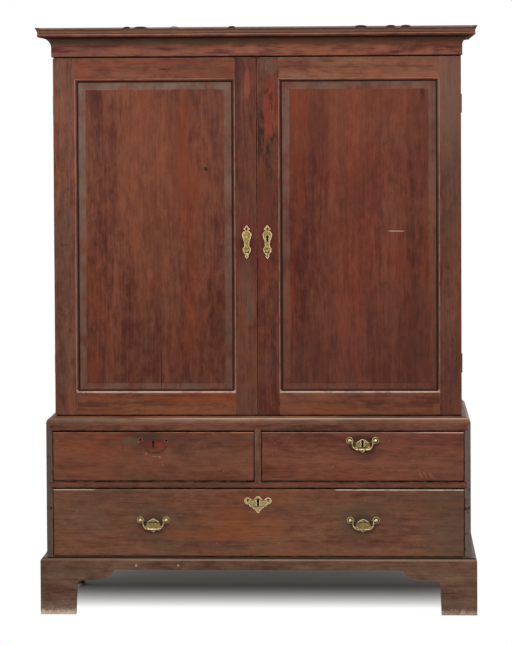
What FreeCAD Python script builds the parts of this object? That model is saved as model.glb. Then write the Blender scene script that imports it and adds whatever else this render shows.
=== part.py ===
import FreeCAD, Part

import math
import os
import re

import Sketcher

# An antique mahogany linen press in two cases: a cupboard with two fielded-panel doors stands on a
# base with two short drawers over a long one, on bracket feet. Millimetres. +X is to the right of
# someone who faces the press, -Y is its front and +Z is up. The origin is on the floor under it.

# The driving dimensions, one row of the spreadsheet each.
SIZES = {
    # the two cases
    "upper_width": 1342,
    "lower_depth": 590,
    "ledge": 28,
    "board": 20,
    "rail": 21,
    "housing": 7,
    "plank": 10,
    "plank_rebate": 9,
    # heights, from the floor up
    "foot_height": 148,
    "bottom_lap": 18,
    "long_opening": 229,
    "short_opening": 168,
    "waist_height": 25,
    "door_height": 1179,
    "cornice_height": 99,
    "cornice_lap": 13,
    # mouldings
    "cornice_out": 52,
    "base_out": 20,
    "base_height": 39,
    "base_round": 12,
    "waist_round": 18,
    "waist_nose": 4,
    "frieze_out": 4.5,
    "frieze_height": 35,
    "cove_out": 33,
    "cove_rise": 30,
    "cove_radius": 34,
    "cornice_drip": 4.5,
    "cornice_bead": 12,
    "bead_lean": 1.5,
    "bead_radius": 7,
    "crown_set": 2,
    "crown_radius": 30,
    "cornice_lip": 4,
    "frame_rail": 22,
    # feet
    "foot_width": 117,
    "foot_board": 20,
    "bracket_width": 242,
    "foot_taper": 4,
    "side_bracket": 190,
    "bracket_drop": 36,
    "bracket_rise": 4,
    "neck_round": 14,
    "rear_brace_foot": 60,
    "rear_brace": 110,
    "foot_block": 50,
    "foot_block_rise": 6,
    # doors
    "door_thick": 24,
    "hinge_gap": 1,
    "door_gap": 3,
    "floor_lap": 11,
    "meeting_gap": 2,
    "stile": 72,
    "top_rail": 70,
    "bottom_rail": 74,
    "lip": 8.5,
    "ovolo": 7,
    "ovolo_step": 1.5,
    "tenon_long": 48,
    "tenon_thick": 8,
    "tenon_set": 9,
    "tenon_shoulder": 10,
    "groove_set": 10.5,
    "tongue": 6,
    "panel_play": 1,
    "bevel_width": 25,
    "bevel_rise": 5,
    "field_step": 1.5,
    # butt hinges
    "leaf_height": 62,
    "leaf_width": 18,
    "leaf_thick": 1.8,
    "knuckle_radius": 3,
    "knuckle_gap": 0.3,
    "pin_radius": 1.5,
    "pin_play": 0.05,
    "pin_out": 0.3,
    "top_hinge_inset": 154,
    "bottom_hinge_inset": 170,
    # linen trays
    "tray_rise": 262,
    "tray_first": 60,
    "tray_side": 10,
    "tray_height": 92,
    "tray_front_height": 58,
    "tray_bottom": 7,
    "tray_set_back": 32,
    "tray_play": 2,
    "runner": 20,
    # drawers
    "drawer_gap": 2.5,
    "drawer_top_gap": 4.5,
    "run_play": 0.3,
    "front_thick": 22,
    "front_lap": 8,
    "drawer_side": 11,
    "drawer_bottom": 7,
    "bottom_rise": 7,
    "bottom_let_in": 5,
    "side_drop": 8,
    "drawer_space": 14,
    "front_rail_depth": 62,
    "dust_thick": 12,
    "tail_flare": 2.5,
    "kicker_width": 24,
    # locks and bolts
    "lock_width": 62,
    "lock_height": 64,
    "lock_thick": 13,
    "lock_bolt_width": 22,
    "lock_bolt_thick": 7,
    "lock_bolt_long": 22,
    "lock_throw": 9,
    "bolt_play": 0.3,
    "key_round": 4,
    "key_slot": 5.5,
    "key_tall": 19,
    "key_depth": 8,
    "drill_pin": 1.6,
    "door_lock_height": 1243,
    "door_lock_reach": 56,
    "flush_bolt_radius": 3.5,
    "flush_bolt_play": 0.05,
    "flush_bolt_long": 100,
    "flush_bolt_set": 12,
    "flush_bolt_throw": 11,
    "knob_radius": 2.4,
    # brass mounts
    "plate_thick": 1.6,
    "escutcheon_width": 31,
    "escutcheon_height": 112,
    "escutcheon_set": 33,
    "escutcheon_key_rise": 18,
    "post_gap": 85.6,
    "lobe_radius": 12,
    "plate_peak": 5,
    "plate_drop": 41,
    "key_plate_gap": 67,
    "key_plate_lobe": 11,
    "key_plate_peak": 14,
    "key_plate_drop": 41,
    "post_head": 5.5,
    "post_out": 11,
    "post_neck": 3.2,
    "post_collar": 5.4,
    "post_collar_thick": 1.6,
    "post_shank": 2.5,
    "nut_width": 11,
    "nut_thick": 4,
    "bail_radius": 2,
    "bail_play": 0.08,
    "bail_seat": 3,
    "bail_drop": 30,
    "bail_inset": 9,
    "bail_bend": 2.5,
    "bail_corner": 12,
    "short_lock_drop": 32,
    "long_lock_drop": 37,
    "short_handle_drop": 26.5,
    "long_handle_drop": 101,
    "long_handle_at": 346,
}

# Places worked out from those dimensions, in the order in which they build on each other.
PLACES = {
    "upper_half": "upper_width / 2",
    "lower_half": "upper_half + ledge",
    "back": "(lower_depth + cornice_out - ledge) / 2",
    "lower_front": "back - lower_depth",
    "door_face": "lower_front + ledge",
    "door_back": "door_face + door_thick",
    "upper_front": "door_back + hinge_gap",
    "case_foot": "foot_height + bottom_lap",
    "case_floor": "case_foot + rail",
    "rail_low": "case_floor + long_opening",
    "rail_high": "rail_low + rail",
    "lower_top_low": "rail_high + short_opening",
    "waist": "lower_top_low + rail",
    "door_low": "waist + waist_height + door_gap",
    "door_high": "door_low + door_height",
    "cornice_low": "door_high + door_gap",
    "cornice_high": "cornice_low + cornice_height",
    "upper_top": "cornice_low + cornice_lap",
    "upper_floor": "door_low + floor_lap",
    "upper_ceiling": "upper_top - rail",
    "inside": "upper_half - board",
    "drawer_inside": "lower_half - board",
    "case_back": "back - plank",
    "divider_half": "rail / 2",
    "hinge_x": "upper_half + pin_out",
    "hinge_y": "upper_front - hinge_gap / 2",
    "door_width": "upper_half - meeting_gap / 2",
    "front_back": "lower_front + front_thick",
    "drawer_rear": "case_back - drawer_space",
    "tray_low": "upper_front + tray_set_back",
    "tray_high": "case_back - tray_play",
    "tray_half": "inside - tray_play",
    "post_half": "post_gap / 2",
    "bail_half": "post_half + bail_seat",
    "arm_half": "post_half - bail_inset",
}

doc = FreeCAD.newDocument("linen_press")
sheet = doc.addObject("Spreadsheet::Sheet", "sizes")
for row, (name, value) in enumerate(SIZES.items(), start=1):
    sheet.set(f"A{row}", name)
    sheet.set(f"B{row}", str(value))
    sheet.setAlias(f"B{row}", name)
doc.recompute()


def bound(formula):
    """A formula in the names above, written as one of this document's expressions."""

    def with_owner(match):
        word = match.group()
        return f"sizes.{word}" if word in SIZES else f"places.{word}"

    return re.sub(r"[a-z_][a-z0-9_]*", with_owner, str(formula))


places = doc.addObject("App::VarSet", "places")
for name, formula in PLACES.items():
    places.addProperty("App::PropertyFloat", name)
    places.setExpression(name, bound(formula))
doc.recompute()

nodes = []


def number(formula):
    """What a formula comes to now."""
    return float(sheet.evalExpression(bound(formula)))


def bind(thing, **formulas):
    """Ties properties of an object to formulas."""
    for slot, formula in formulas.items():
        thing.setExpression(slot, bound(formula))


def put(thing, x="0", y="0", z="0", axis=(0, 0, 1), angle=0):
    """Turns an object about an axis through its own origin and sets that origin at a point."""
    turn = FreeCAD.Rotation(FreeCAD.Vector(*axis), angle)
    thing.Placement = FreeCAD.Placement(FreeCAD.Vector(), turn)
    for letter, formula in zip("xyz", (x, y, z)):
        thing.setExpression(f"Placement.Base.{letter}", bound(formula))
    return thing


def node(name, thing):
    """Names an object as one of the press's pieces."""
    thing.Label = name
    nodes.append(thing)
    return thing


def block(name, x, y, z):
    """A plain board between two formulas on each axis."""
    board = doc.addObject("Part::Box", name)
    for side, (low, high) in zip(("Length", "Width", "Height"), (x, y, z)):
        board.setExpression(side, bound(f"({high}) - ({low})"))
    return put(board, x[0], y[0], z[0])


def rod(name, radius, length, x, y, z, along="z"):
    """A round bar that starts at a point and runs along an axis."""
    bar = doc.addObject("Part::Cylinder", name)
    bind(bar, Radius=radius, Height=length)
    axis, angle = {"x": ((0, 1, 0), 90), "y": ((1, 0, 0), -90), "z": ((0, 0, 1), 0)}[along]
    return put(bar, x, y, z, axis, angle)


def joined(name, *solids):
    """One solid made of several."""
    whole = doc.addObject("Part::MultiFuse", name)
    whole.Shapes = list(solids)
    return whole


def group(name, solids):
    """Several separate solids that share a name."""
    several = doc.addObject("Part::Compound", name)
    several.Links = list(solids)
    return several


def cut(name, base, *tools):
    """What is left of a solid once others are taken out of it."""
    rest = doc.addObject("Part::Cut", name)
    rest.Base = base
    rest.Tool = tools[0] if len(tools) == 1 else joined(f"{name}_cutters", *tools)
    return rest


def new_body(name):
    return doc.addObject("PartDesign::Body", name)


def new_sketch(body, plane, lift):
    """An empty sketch on one of a body's own planes, lifted off it along its normal."""
    sketch = body.newObject("Sketcher::SketchObject", f"{body.Name}_outline")
    origin = next(part for part in body.Origin.OriginFeatures if part.Role == plane)
    sketch.AttachmentSupport = [(origin, "")]
    sketch.MapMode = "FlatFace"
    sketch.setExpression("AttachmentOffset.Base.z", bound(lift))
    return sketch


def outline(body, plane, corners, lift="0", closed=True):
    """A sketch through corners (x, y) or (x, y, radius) of formulas.

    A radius bends the side that starts at its corner, to the left where it is positive.
    """
    sketch = new_sketch(body, plane, lift)
    spots = [FreeCAD.Vector(number(c[0]), number(c[1]), 0) for c in corners]
    count = len(corners) if closed else len(corners) - 1
    ends = []
    for index in range(count):
        start, end = spots[index], spots[(index + 1) % len(spots)]
        if len(corners[index]) == 2:
            sketch.addGeometry(Part.LineSegment(start, end), False)
            ends.append((1, 2))
            continue
        radius = number(corners[index][2])
        sketch.addGeometry(arc_between(start, end, radius), False)
        ends.append((1, 2) if radius > 0 else (2, 1))
        bend = Sketcher.Constraint("Radius", index, abs(radius))
        size = bound(corners[index][2])
        tie(sketch, bend, size if radius > 0 else f"-({size})")
    for index in range(count):
        follower = (index + 1) % len(spots)
        if follower < count:
            pair = (index, ends[index][1], follower, ends[follower][0])
            sketch.addConstraint(Sketcher.Constraint("Coincident", *pair))
    for index in range(len(corners)):
        edge, end = (index, ends[index][0]) if index < count else (index - 1, ends[index - 1][1])
        for kind, formula in zip(("DistanceX", "DistanceY"), corners[index]):
            reach = Sketcher.Constraint(kind, -1, 1, edge, end, number(formula))
            tie(sketch, reach, bound(formula))
    return sketch


def tie(sketch, constraint, expression):
    """Adds a constraint and ties its size to an expression."""
    index = sketch.addConstraint(constraint)
    sketch.setExpression(f"Constraints[{index}]", expression)


def arc_between(start, end, radius):
    """The short arc from start to end that bends left where the radius is positive."""
    half = (end - start) * 0.5
    rise = math.sqrt(max(radius * radius - half.Length**2, 0)) * math.copysign(1, radius)
    side = FreeCAD.Vector(-half.y, half.x, 0).normalize()
    centre = start + half + side * rise
    angles = [math.atan2(p.y - centre.y, p.x - centre.x) for p in (start, end)]
    if radius < 0:
        angles.reverse()
    circle = Part.Circle(centre, FreeCAD.Vector(0, 0, 1), abs(radius))
    return Part.ArcOfCircle(circle, angles[0], angles[1])


def circle(body, plane, radius, lift):
    """A sketch of one circle about its plane's origin."""
    sketch = new_sketch(body, plane, lift)
    sketch.addGeometry(Part.Circle(FreeCAD.Vector(), FreeCAD.Vector(0, 0, 1), number(radius)), False)
    sketch.addConstraint(Sketcher.Constraint("Coincident", 0, 3, -1, 1))
    tie(sketch, Sketcher.Constraint("Radius", 0, number(radius)), bound(radius))
    return sketch


def pad(body, sketch, length):
    """Stands a sketch up by a length, along its plane's normal."""
    raised = body.newObject("PartDesign::Pad", f"{body.Name}_pad")
    raised.Profile = sketch
    bind(raised, Length=length)
    body.Tip = raised
    return raised


def pocket(body, sketch, backwards=False):
    """Cuts a sketch right through a body, against its plane's normal."""
    opening = body.newObject("PartDesign::Pocket", f"{body.Name}_pocket")
    opening.Profile = sketch
    opening.Type = "ThroughAll"
    opening.Reversed = backwards
    body.Tip = opening
    return opening


def add_block(body, x, y, z):
    """Adds a plain block to a body, in the body's own frame."""
    extra = body.newObject("PartDesign::AdditiveBox", f"{body.Name}_block")
    for side, (low, high) in zip(("Length", "Width", "Height"), (x, y, z)):
        extra.setExpression(side, bound(f"({high}) - ({low})"))
    put(extra, x[0], y[0], z[0])
    body.Tip = extra
    return extra


def both_sides(half):
    """A whole outline from its right half, which runs from its top to its bottom.

    A corner (x, y, radius) bends the side that leaves it, as in outline.
    """
    left = [
        (f"-({half[index][0]})", half[index][1], *half[index - 1][2:])
        for index in range(len(half) - 1, 0, -1)
    ]
    return half[:-1] + left


def keyhole(name, x, z, y_low, y_high):
    """A keyhole through a slab, its round at (x, z) and its slot below that: two cutters."""
    return (
        rod(f"{name}_round", "key_round", f"({y_high}) - ({y_low})", x, y_low, z, along="y"),
        block(
            f"{name}_slot",
            (f"({x}) - key_slot / 2", f"({x}) + key_slot / 2"),
            (y_low, y_high),
            (f"({z}) - key_tall", z),
        ),
    )


# ---- mouldings: each run is one length, sawn to a mitre where it meets the next


def moulding(name, section, reach, run, mitres, angle, x, y, z):
    """A length of moulding whose section holds corners (out, up[, radius]).

    It runs along +X with its face to -Y before it is turned, and its inner edge is run long. A
    mitred end, at the start, at the end or both, carries on past that by as much as it stands out.
    """
    at_start, at_end = mitres
    body = new_body(name)
    first = f"-({reach})" if at_start else "0"
    last = f"({run}) + ({reach})" if at_end else run
    corners = [(f"-({out})", up, *bend) for out, up, *bend in section]
    pad(body, outline(body, "YZ_Plane", corners, lift=first), f"({last}) - ({first})")
    beyond = f"({reach}) + 1"
    if at_start:
        waste = [("1", "1"), (f"-({beyond})", "1"), (f"-({beyond})", f"-({beyond})")]
        pocket(body, outline(body, "XY_Plane", waste, lift="-1"), backwards=True)
    if at_end:
        tip = f"({run}) + {beyond}"
        waste = [(f"({run}) - 1", "1"), (tip, f"-({beyond})"), (tip, "1")]
        pocket(body, outline(body, "XY_Plane", waste, lift="-1"), backwards=True)
    return put(body, x, y, z, angle=angle)


def moulding_round(name, section, reach, half, front, z, filler=None):
    """Moulding along the front and both sides of a case; the front length can carry a filler."""
    run = f"2 * {half}"
    face = moulding(f"{name}_face", section, reach, run, (True, True), 0, f"-{half}", front, z)
    if filler:
        depth, height = filler
        add_block(face, ("0", run), ("0", depth), ("0", height))
    run = f"back - {front}"
    left = moulding(f"{name}_left", section, reach, run, (False, True), -90, f"-{half}", "back", z)
    right = moulding(f"{name}_right", section, reach, run, (True, False), 90, half, front, z)
    return face, left, right


soffit = "frieze_height + cove_rise"
bead_top = f"{soffit} + cornice_bead"
drip = "frieze_out + cove_out + cornice_drip"
cornice_section = [
    ("0", "0", "-frieze_out"),
    ("frieze_out", "frieze_out"),
    ("frieze_out", "frieze_height", "cove_radius"),
    ("frieze_out + cove_out", soffit),
    (drip, soffit, "-bead_radius"),
    (f"{drip} + bead_lean", bead_top),
    (f"{drip} + bead_lean + crown_set", bead_top, "crown_radius"),
    ("cornice_out", "cornice_height - cornice_lip"),
    ("cornice_out", "cornice_height"),
    ("0", "cornice_height"),
]
front_filler = "upper_front - door_face"
cornice_face, cornice_left, cornice_right = moulding_round(
    "cornice",
    cornice_section,
    "cornice_out",
    "upper_half",
    "door_face",
    "cornice_low",
    filler=(front_filler, "cornice_height"),
)
waist_section = [
    ("0", "0"),
    ("ledge", "0"),
    ("ledge", "waist_nose", "-waist_round"),
    ("ledge - waist_round", "waist_nose + waist_round"),
    ("ledge - waist_round", "waist_height"),
    ("0", "waist_height"),
]
waist_face, waist_left, waist_right = moulding_round(
    "waist",
    waist_section,
    "ledge",
    "upper_half",
    "door_face",
    "waist",
    filler=(front_filler, "waist_height"),
)
base_section = [
    ("0", "0"),
    ("base_out", "0"),
    ("base_out", "base_height - base_round", "-base_round"),
    ("base_out - base_round", "base_height"),
    ("0", "base_height"),
]
base_lengths = moulding_round(
    "base", base_section, "base_out", "lower_half", "lower_front", "foot_height"
)
node("base_moulding", group("base_moulding", base_lengths))


# ---- flush bolts of the left-hand door, let into the edge of its meeting stile

flush_x = "-(meeting_gap / 2 + flush_bolt_set)"
flush_y = "door_face + door_thick / 2"
knob_end = "-(meeting_gap / 2 + knuckle_gap)"


def flush_bolt(name, z_low, knob, travel):
    """A flush bolt from z_low up, its thumb knob at a height, and the cutters that house it."""
    shaft = ("flush_bolt_radius", "flush_bolt_long", flush_x, flush_y)
    bolt = joined(
        name,
        rod(f"{name}_rod", *shaft, z_low),
        rod(f"{name}_knob", "knob_radius", f"{knob_end} - ({flush_x})", flush_x, flush_y, knob, "x"),
    )
    wide = "flush_bolt_radius + flush_bolt_play"
    bore = rod(f"{name}_bore", wide, "flush_bolt_long", flush_x, flush_y, z_low)
    low, high = (knob, f"{knob} + ({travel})") if travel[0] != "-" else (f"{knob} + ({travel})", knob)
    slot = block(
        f"{name}_slot",
        (flush_x, "0"),
        (f"{flush_y} - knob_radius - bolt_play", f"{flush_y} + knob_radius + bolt_play"),
        (f"{low} - knob_radius - bolt_play", f"{high} + knob_radius + bolt_play"),
    )
    return bolt, (bore, slot)


bolt_top, bolt_top_room = flush_bolt(
    "left_door_bolt_top",
    "door_high - flush_bolt_long",
    "door_high - flush_bolt_long + 2 * flush_bolt_set",
    "flush_bolt_throw",
)
bolt_bottom, bolt_bottom_room = flush_bolt(
    "left_door_bolt_bottom",
    "door_low",
    "door_low + flush_bolt_long - 2 * flush_bolt_set",
    "-flush_bolt_throw",
)
keeper = ("flush_bolt_radius + bolt_play", "flush_bolt_throw", flush_x, flush_y)
cornice_face = cut("cornice_face_bored", cornice_face, rod("top_keeper", *keeper, "cornice_low"))
waist_face = cut(
    "waist_face_bored", waist_face, rod("bottom_keeper", *keeper, "door_low - door_gap - flush_bolt_throw")
)
node("cornice_moulding", group("cornice_moulding", [cornice_face, cornice_left, cornice_right]))
node("waist_moulding", group("waist_moulding", [waist_face, waist_left, waist_right]))


# ---- upper case

SIDES = (("left", -1), ("right", 1))


def across(half):
    """From one side of the press to the other."""
    return f"-({half})", half


def beside(side, inner, outer):
    """The same two distances out from the middle on the left (-1) or on the right (1)."""
    return (inner, outer) if side > 0 else (f"-({outer})", f"-({inner})")


upper_planks = []
plank_count = 6
for index in range(plank_count):
    share = f"2 * (upper_half - plank_rebate) / {plank_count}"
    start = f"{index} * {share} - (upper_half - plank_rebate)"
    ends = (start, f"{start} + {share}")
    upper_planks.append(
        block(f"upper_plank_{index + 1}", ends, ("case_back", "back"), ("waist", "upper_top"))
    )
node("upper_back_boards", group("upper_back_boards", upper_planks))
upper_ends = across("inside + housing")
upper_deep = ("upper_front", "case_back")
upper_top = block("upper_top_board", upper_ends, upper_deep, ("upper_ceiling", "upper_top"))
node("upper_top_board", upper_top)
upper_bottom = block(
    "upper_bottom_board", upper_ends, upper_deep, ("upper_floor - rail", "upper_floor")
)
node("upper_bottom_board", upper_bottom)

frame_high = ("upper_top", "cornice_high - cornice_lip")
frame_back = ("back - frame_rail", "back")
frame = [
    block("frame_rail_back", across("upper_half - frame_rail"), frame_back, frame_high),
]
for side_name, side in SIDES:
    edge = beside(side, "upper_half - frame_rail", "upper_half")
    frame.append(block(f"frame_rail_{side_name}", edge, ("upper_front", "back"), frame_high))
    corner = beside(side, "upper_half - 3 * frame_rail", "upper_half - frame_rail")
    corner_deep = ("upper_front", "upper_front + frame_rail")
    frame.append(block(f"frame_block_{side_name}", corner, corner_deep, frame_high))
node("cornice_frame", group("cornice_frame", frame))


# ---- butt hinges: the fixed leaves, with their pins, stay on the case

leaf_low = "-leaf_height / 2"


def leaf(name, knuckles, y_low, y_high):
    """One leaf of a butt hinge in the hinge's own frame: its pin along Z, its plate towards +X."""
    step = "leaf_height / 3"
    ends = (leaf_low, "leaf_height / 2")
    plate = block(f"{name}_plate", ("0", "leaf_width"), (y_low, y_high), ends)
    barrels, notches = [], []
    for index in range(3):
        low = f"{leaf_low} + {index} * {step}"
        high = f"{low} + {step}"
        if index in knuckles:
            low = low if index == 0 else f"{low} + knuckle_gap / 2"
            high = high if index == 2 else f"{high} - knuckle_gap / 2"
            length = f"{high} - ({low})"
            barrels.append(rod(f"{name}_barrel_{index}", "knuckle_radius", length, "0", "0", low))
        else:
            room = ("-1", "knuckle_radius + 2 * knuckle_gap")
            deep = ("-leaf_thick - hinge_gap", "leaf_thick + hinge_gap")
            tall = (f"{low} - knuckle_gap / 2", f"{high} + knuckle_gap / 2")
            notches.append(block(f"{name}_notch_{index}", room, deep, tall))
    return [cut(f"{name}_trimmed", plate, *notches), *barrels]


def hinge(name, side, z):
    """A butt hinge of the left (-1) or right (1) door: case leaf, door leaf and the room they take.

    The pin is riveted into the case leaf's two knuckles, and the door leaf's one turns on it.
    """
    case_name, door_name = f"{name}_case_leaf", f"{name}_door_leaf"
    fixed = leaf(case_name, (0, 2), "hinge_gap / 2", "hinge_gap / 2 + leaf_thick")
    swung = leaf(door_name, (1,), "-hinge_gap / 2 - leaf_thick", "-hinge_gap / 2")
    pin = rod(f"{name}_pin", "pin_radius", "leaf_height", "0", "0", leaf_low)
    bore = rod(f"{name}_bore", "pin_radius + pin_play", "leaf_height", "0", "0", leaf_low)
    case_leaf = joined(case_name, *fixed, pin)
    door_leaf = cut(door_name, joined(f"{door_name}_whole", *swung), bore)
    x = f"{side} * hinge_x"
    for piece in (case_leaf, door_leaf):
        # Half a turn about Y hands the hinge over to the right-hand door.
        put(piece, x, "hinge_y", z, axis=(0, 1, 0), angle=0 if side < 0 else 180)
    wide = "knuckle_radius + 1.5 * knuckle_gap"
    tall = "leaf_height + 2 * hinge_gap"
    low = f"{z} - leaf_height / 2 - hinge_gap"
    return case_leaf, door_leaf, rod(f"{name}_room", wide, tall, x, "hinge_y", low)


fixed_leaves, door_leaves, hinge_rooms = [], {}, {}
for side_name, side in SIDES:
    pair = [
        hinge(f"{side_name}_top_hinge", side, "door_high - top_hinge_inset"),
        hinge(f"{side_name}_bottom_hinge", side, "door_low + bottom_hinge_inset"),
    ]
    case_leaves, door_leaves[side_name], hinge_rooms[side_name] = zip(*pair)
    fixed_leaves += case_leaves
    name = f"upper_side_{side_name}"
    ends = beside(side, "inside", "upper_half")
    blank = block(f"{name}_blank", ends, ("upper_front", "back"), ("waist", "upper_top"))
    seated = [*upper_planks, upper_top, upper_bottom, *case_leaves, *hinge_rooms[side_name]]
    node(name, cut(name, blank, *seated))
node("case_hinge_leaves", group("case_hinge_leaves", fixed_leaves))


# ---- linen trays on runners inside the cupboard

TRAYS = 4
runners, trays = [], []
for index in range(TRAYS):
    name = f"tray_{index + 1}"
    z = f"upper_floor + tray_first + {index} * tray_rise"
    deep = ("tray_low", "tray_high")
    bottom = block(
        f"{name}_bottom",
        across("tray_half - tray_side / 2"),
        ("tray_low + tray_side / 2", "tray_high"),
        (f"{z} + tray_bottom", f"{z} + 2 * tray_bottom"),
    )
    walls = [
        block(
            f"{name}_front",
            across("tray_half - tray_side"),
            ("tray_low", "tray_low + tray_side"),
            (z, f"{z} + tray_front_height"),
        )
    ]
    for side_name, side in SIDES:
        ends = beside(side, "tray_half - tray_side", "tray_half")
        walls.append(block(f"{name}_{side_name}", ends, deep, (z, f"{z} + tray_height")))
        ends = beside(side, "inside - runner", "inside")
        below = (f"{z} - runner", z)
        runners.append(block(f"{name}_runner_{side_name}", ends, ("tray_low", "case_back"), below))
    trays += [cut(f"{wall.Name}_grooved", wall, bottom) for wall in walls]
    trays.append(bottom)
    trays.append(
        block(
            f"{name}_back",
            across("tray_half - tray_side"),
            ("tray_high - tray_side", "tray_high"),
            (f"{z} + 2 * tray_bottom", f"{z} + tray_height"),
        )
    )
node("tray_runners", group("tray_runners", runners))
node("linen_trays", group("linen_trays", trays))


# ---- lower case

lower_planks = []
board_count = 3
for index in range(board_count):
    share = f"(waist - case_foot) / {board_count}"
    low = f"case_foot + {index} * {share}"
    ends = across("lower_half - plank_rebate")
    tall = (low, f"{low} + {share}")
    lower_planks.append(block(f"lower_plank_{index + 1}", ends, ("case_back", "back"), tall))
node("lower_back_boards", group("lower_back_boards", lower_planks))

lower_ends = across("drawer_inside + housing")
rail_deep = ("lower_front", "lower_front + front_rail_depth")
behind_rail = ("lower_front + front_rail_depth", "case_back")
lower_top = block("lower_top_board", lower_ends, behind_rail, ("lower_top_low", "waist"))
node("lower_top_board", lower_top)
dust_board = block(
    "dust_board", lower_ends, behind_rail, ("rail_high - dust_thick", "rail_high")
)
node("dust_board", dust_board)
lower_bottom = block(
    "lower_bottom_board", lower_ends, ("lower_front", "case_back"), ("case_foot", "case_floor")
)
node("lower_bottom_board", lower_bottom)
divider = block(
    "drawer_divider",
    across("divider_half"),
    rail_deep,
    ("rail_high - housing", "lower_top_low + housing"),
)
node("drawer_divider", divider)
top_rail = block("drawer_rail_top_blank", lower_ends, rail_deep, ("lower_top_low", "waist"))
middle_rail = block("drawer_rail_middle_blank", lower_ends, rail_deep, ("rail_low", "rail_high"))

guide_high = ("rail_high", "rail_high + 3 * kicker_width")
guides = [block("drawer_guide", across("divider_half"), behind_rail, guide_high)]
for side_name, side in SIDES:
    ends = beside(side, "drawer_inside - kicker_width", "drawer_inside")
    under_dust = ("rail_low", "rail_high - dust_thick")
    guides.append(block(f"drawer_kicker_{side_name}", ends, behind_rail, under_dust))
    name = f"lower_side_{side_name}"
    ends = beside(side, "drawer_inside", "lower_half")
    blank = block(f"{name}_blank", ends, ("lower_front", "back"), ("case_foot", "waist"))
    boards = (lower_top, dust_board, lower_bottom, top_rail, middle_rail)
    node(name, cut(name, blank, *lower_planks, *boards))
node("drawer_guides", group("drawer_guides", guides))


# ---- bracket feet: boards under the base moulding, mitred in pairs in front, blocks behind them


def bracket(name, width, hand, angle, x, y, mitred):
    """A foot board with its toe at its origin, its face to -Y and its run towards hand * X."""
    shoulder = "foot_height - bracket_drop"
    edge = [
        ("0", "0"),
        ("foot_width", "0"),
        ("foot_width + foot_taper", f"{shoulder} - neck_round", f"-{hand} * neck_round"),
        ("foot_width + foot_taper + neck_round", shoulder),
        (f"{width} - bracket_drop", f"{shoulder} + bracket_rise"),
        (f"{width} - bracket_drop", f"{shoulder} + 2 * bracket_rise", f"{hand} * bracket_drop"),
        (width, "foot_height"),
        ("0", "foot_height"),
    ]
    body = new_body(name)
    handed = [(f"{hand} * ({along})", *rest) for along, *rest in edge]
    pad(body, outline(body, "XZ_Plane", handed), "foot_board")
    if mitred:
        beyond = "foot_board + 1"
        waste = [
            (f"-{hand}", f"-({beyond})"),
            (f"{hand} * ({beyond})", "1"),
            (f"-{hand}", "1"),
        ]
        pocket(body, outline(body, "XY_Plane", waste, lift="-1"), backwards=True)
    return put(body, x, y, "0", angle=angle)


front_feet, rear_feet, blocks = [], [], []
toe = "lower_half + base_out"
for side_name, side in SIDES:
    front_feet.append(
        bracket(
            f"front_foot_{side_name}",
            "bracket_width",
            -side,
            0,
            f"{side} * ({toe})",
            "lower_front",
            True,
        )
    )
    edge = f"{side} * lower_half"
    fore = "lower_front - base_out"
    front_feet.append(
        bracket(f"front_foot_{side_name}_side", "side_bracket", side, 90 * side, edge, fore, True)
    )
    rear_feet.append(
        bracket(f"rear_foot_{side_name}_side", "side_bracket", -side, 90 * side, edge, "back", False)
    )
    brace = new_body(f"rear_foot_{side_name}_back")
    brace_edge = [
        ("0", "0"),
        (f"-{side} * rear_brace_foot", "0"),
        (f"-{side} * rear_brace", "foot_height"),
        ("0", "foot_height"),
    ]
    pad(brace, outline(brace, "XZ_Plane", brace_edge), "foot_board")
    rear_feet.append(put(brace, edge, "back", "0"))
    ends = beside(side, "lower_half - foot_block", "lower_half")
    tall = ("foot_block_rise", "case_foot")
    front_deep = ("lower_front", "lower_front + foot_block")
    rear_deep = ("back - foot_board - foot_block", "back - foot_board")
    blocks.append(block(f"front_foot_block_{side_name}", ends, front_deep, tall))
    blocks.append(block(f"rear_foot_block_{side_name}", ends, rear_deep, tall))
node("front_feet", group("front_feet", front_feet))
node("rear_feet", group("rear_feet", rear_feet))
node("foot_blocks", group("foot_blocks", blocks))


# ---- brass: pierced plates, turned posts and swinging bails


def plate(name, half, x, y, z):
    """A flat brass plate cut to an outline, its back at y."""
    body = new_body(name)
    pad(body, outline(body, "XZ_Plane", both_sides(half)), "plate_thick")
    return put(body, x, y, z)


wide, tall = "escutcheon_width / 2", "escutcheon_height / 2"
escutcheon_half = [
    ("0", tall),
    (f"0.29 * {wide}", f"0.9 * {tall}"),
    (f"0.66 * {wide}", f"0.8 * {tall}", f"-0.4 * {wide}"),
    (f"0.33 * {wide}", f"0.68 * {tall}"),
    (f"0.65 * {wide}", f"0.625 * {tall}", f"-0.8 * {wide}"),
    (wide, f"0.44 * {tall}"),
    (f"0.55 * {wide}", "0"),
    (f"0.52 * {wide}", f"-0.2 * {tall}", f"0.7 * {wide}"),
    (wide, f"-0.375 * {tall}"),
    (f"0.85 * {wide}", f"-0.45 * {tall}", f"-1.6 * {wide}"),
    (f"0.32 * {wide}", f"-0.76 * {tall}"),
    (f"0.45 * {wide}", f"-0.8 * {tall}"),
    (f"0.32 * {wide}", f"-0.875 * {tall}"),
    ("0", f"-{tall}"),
]


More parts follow.
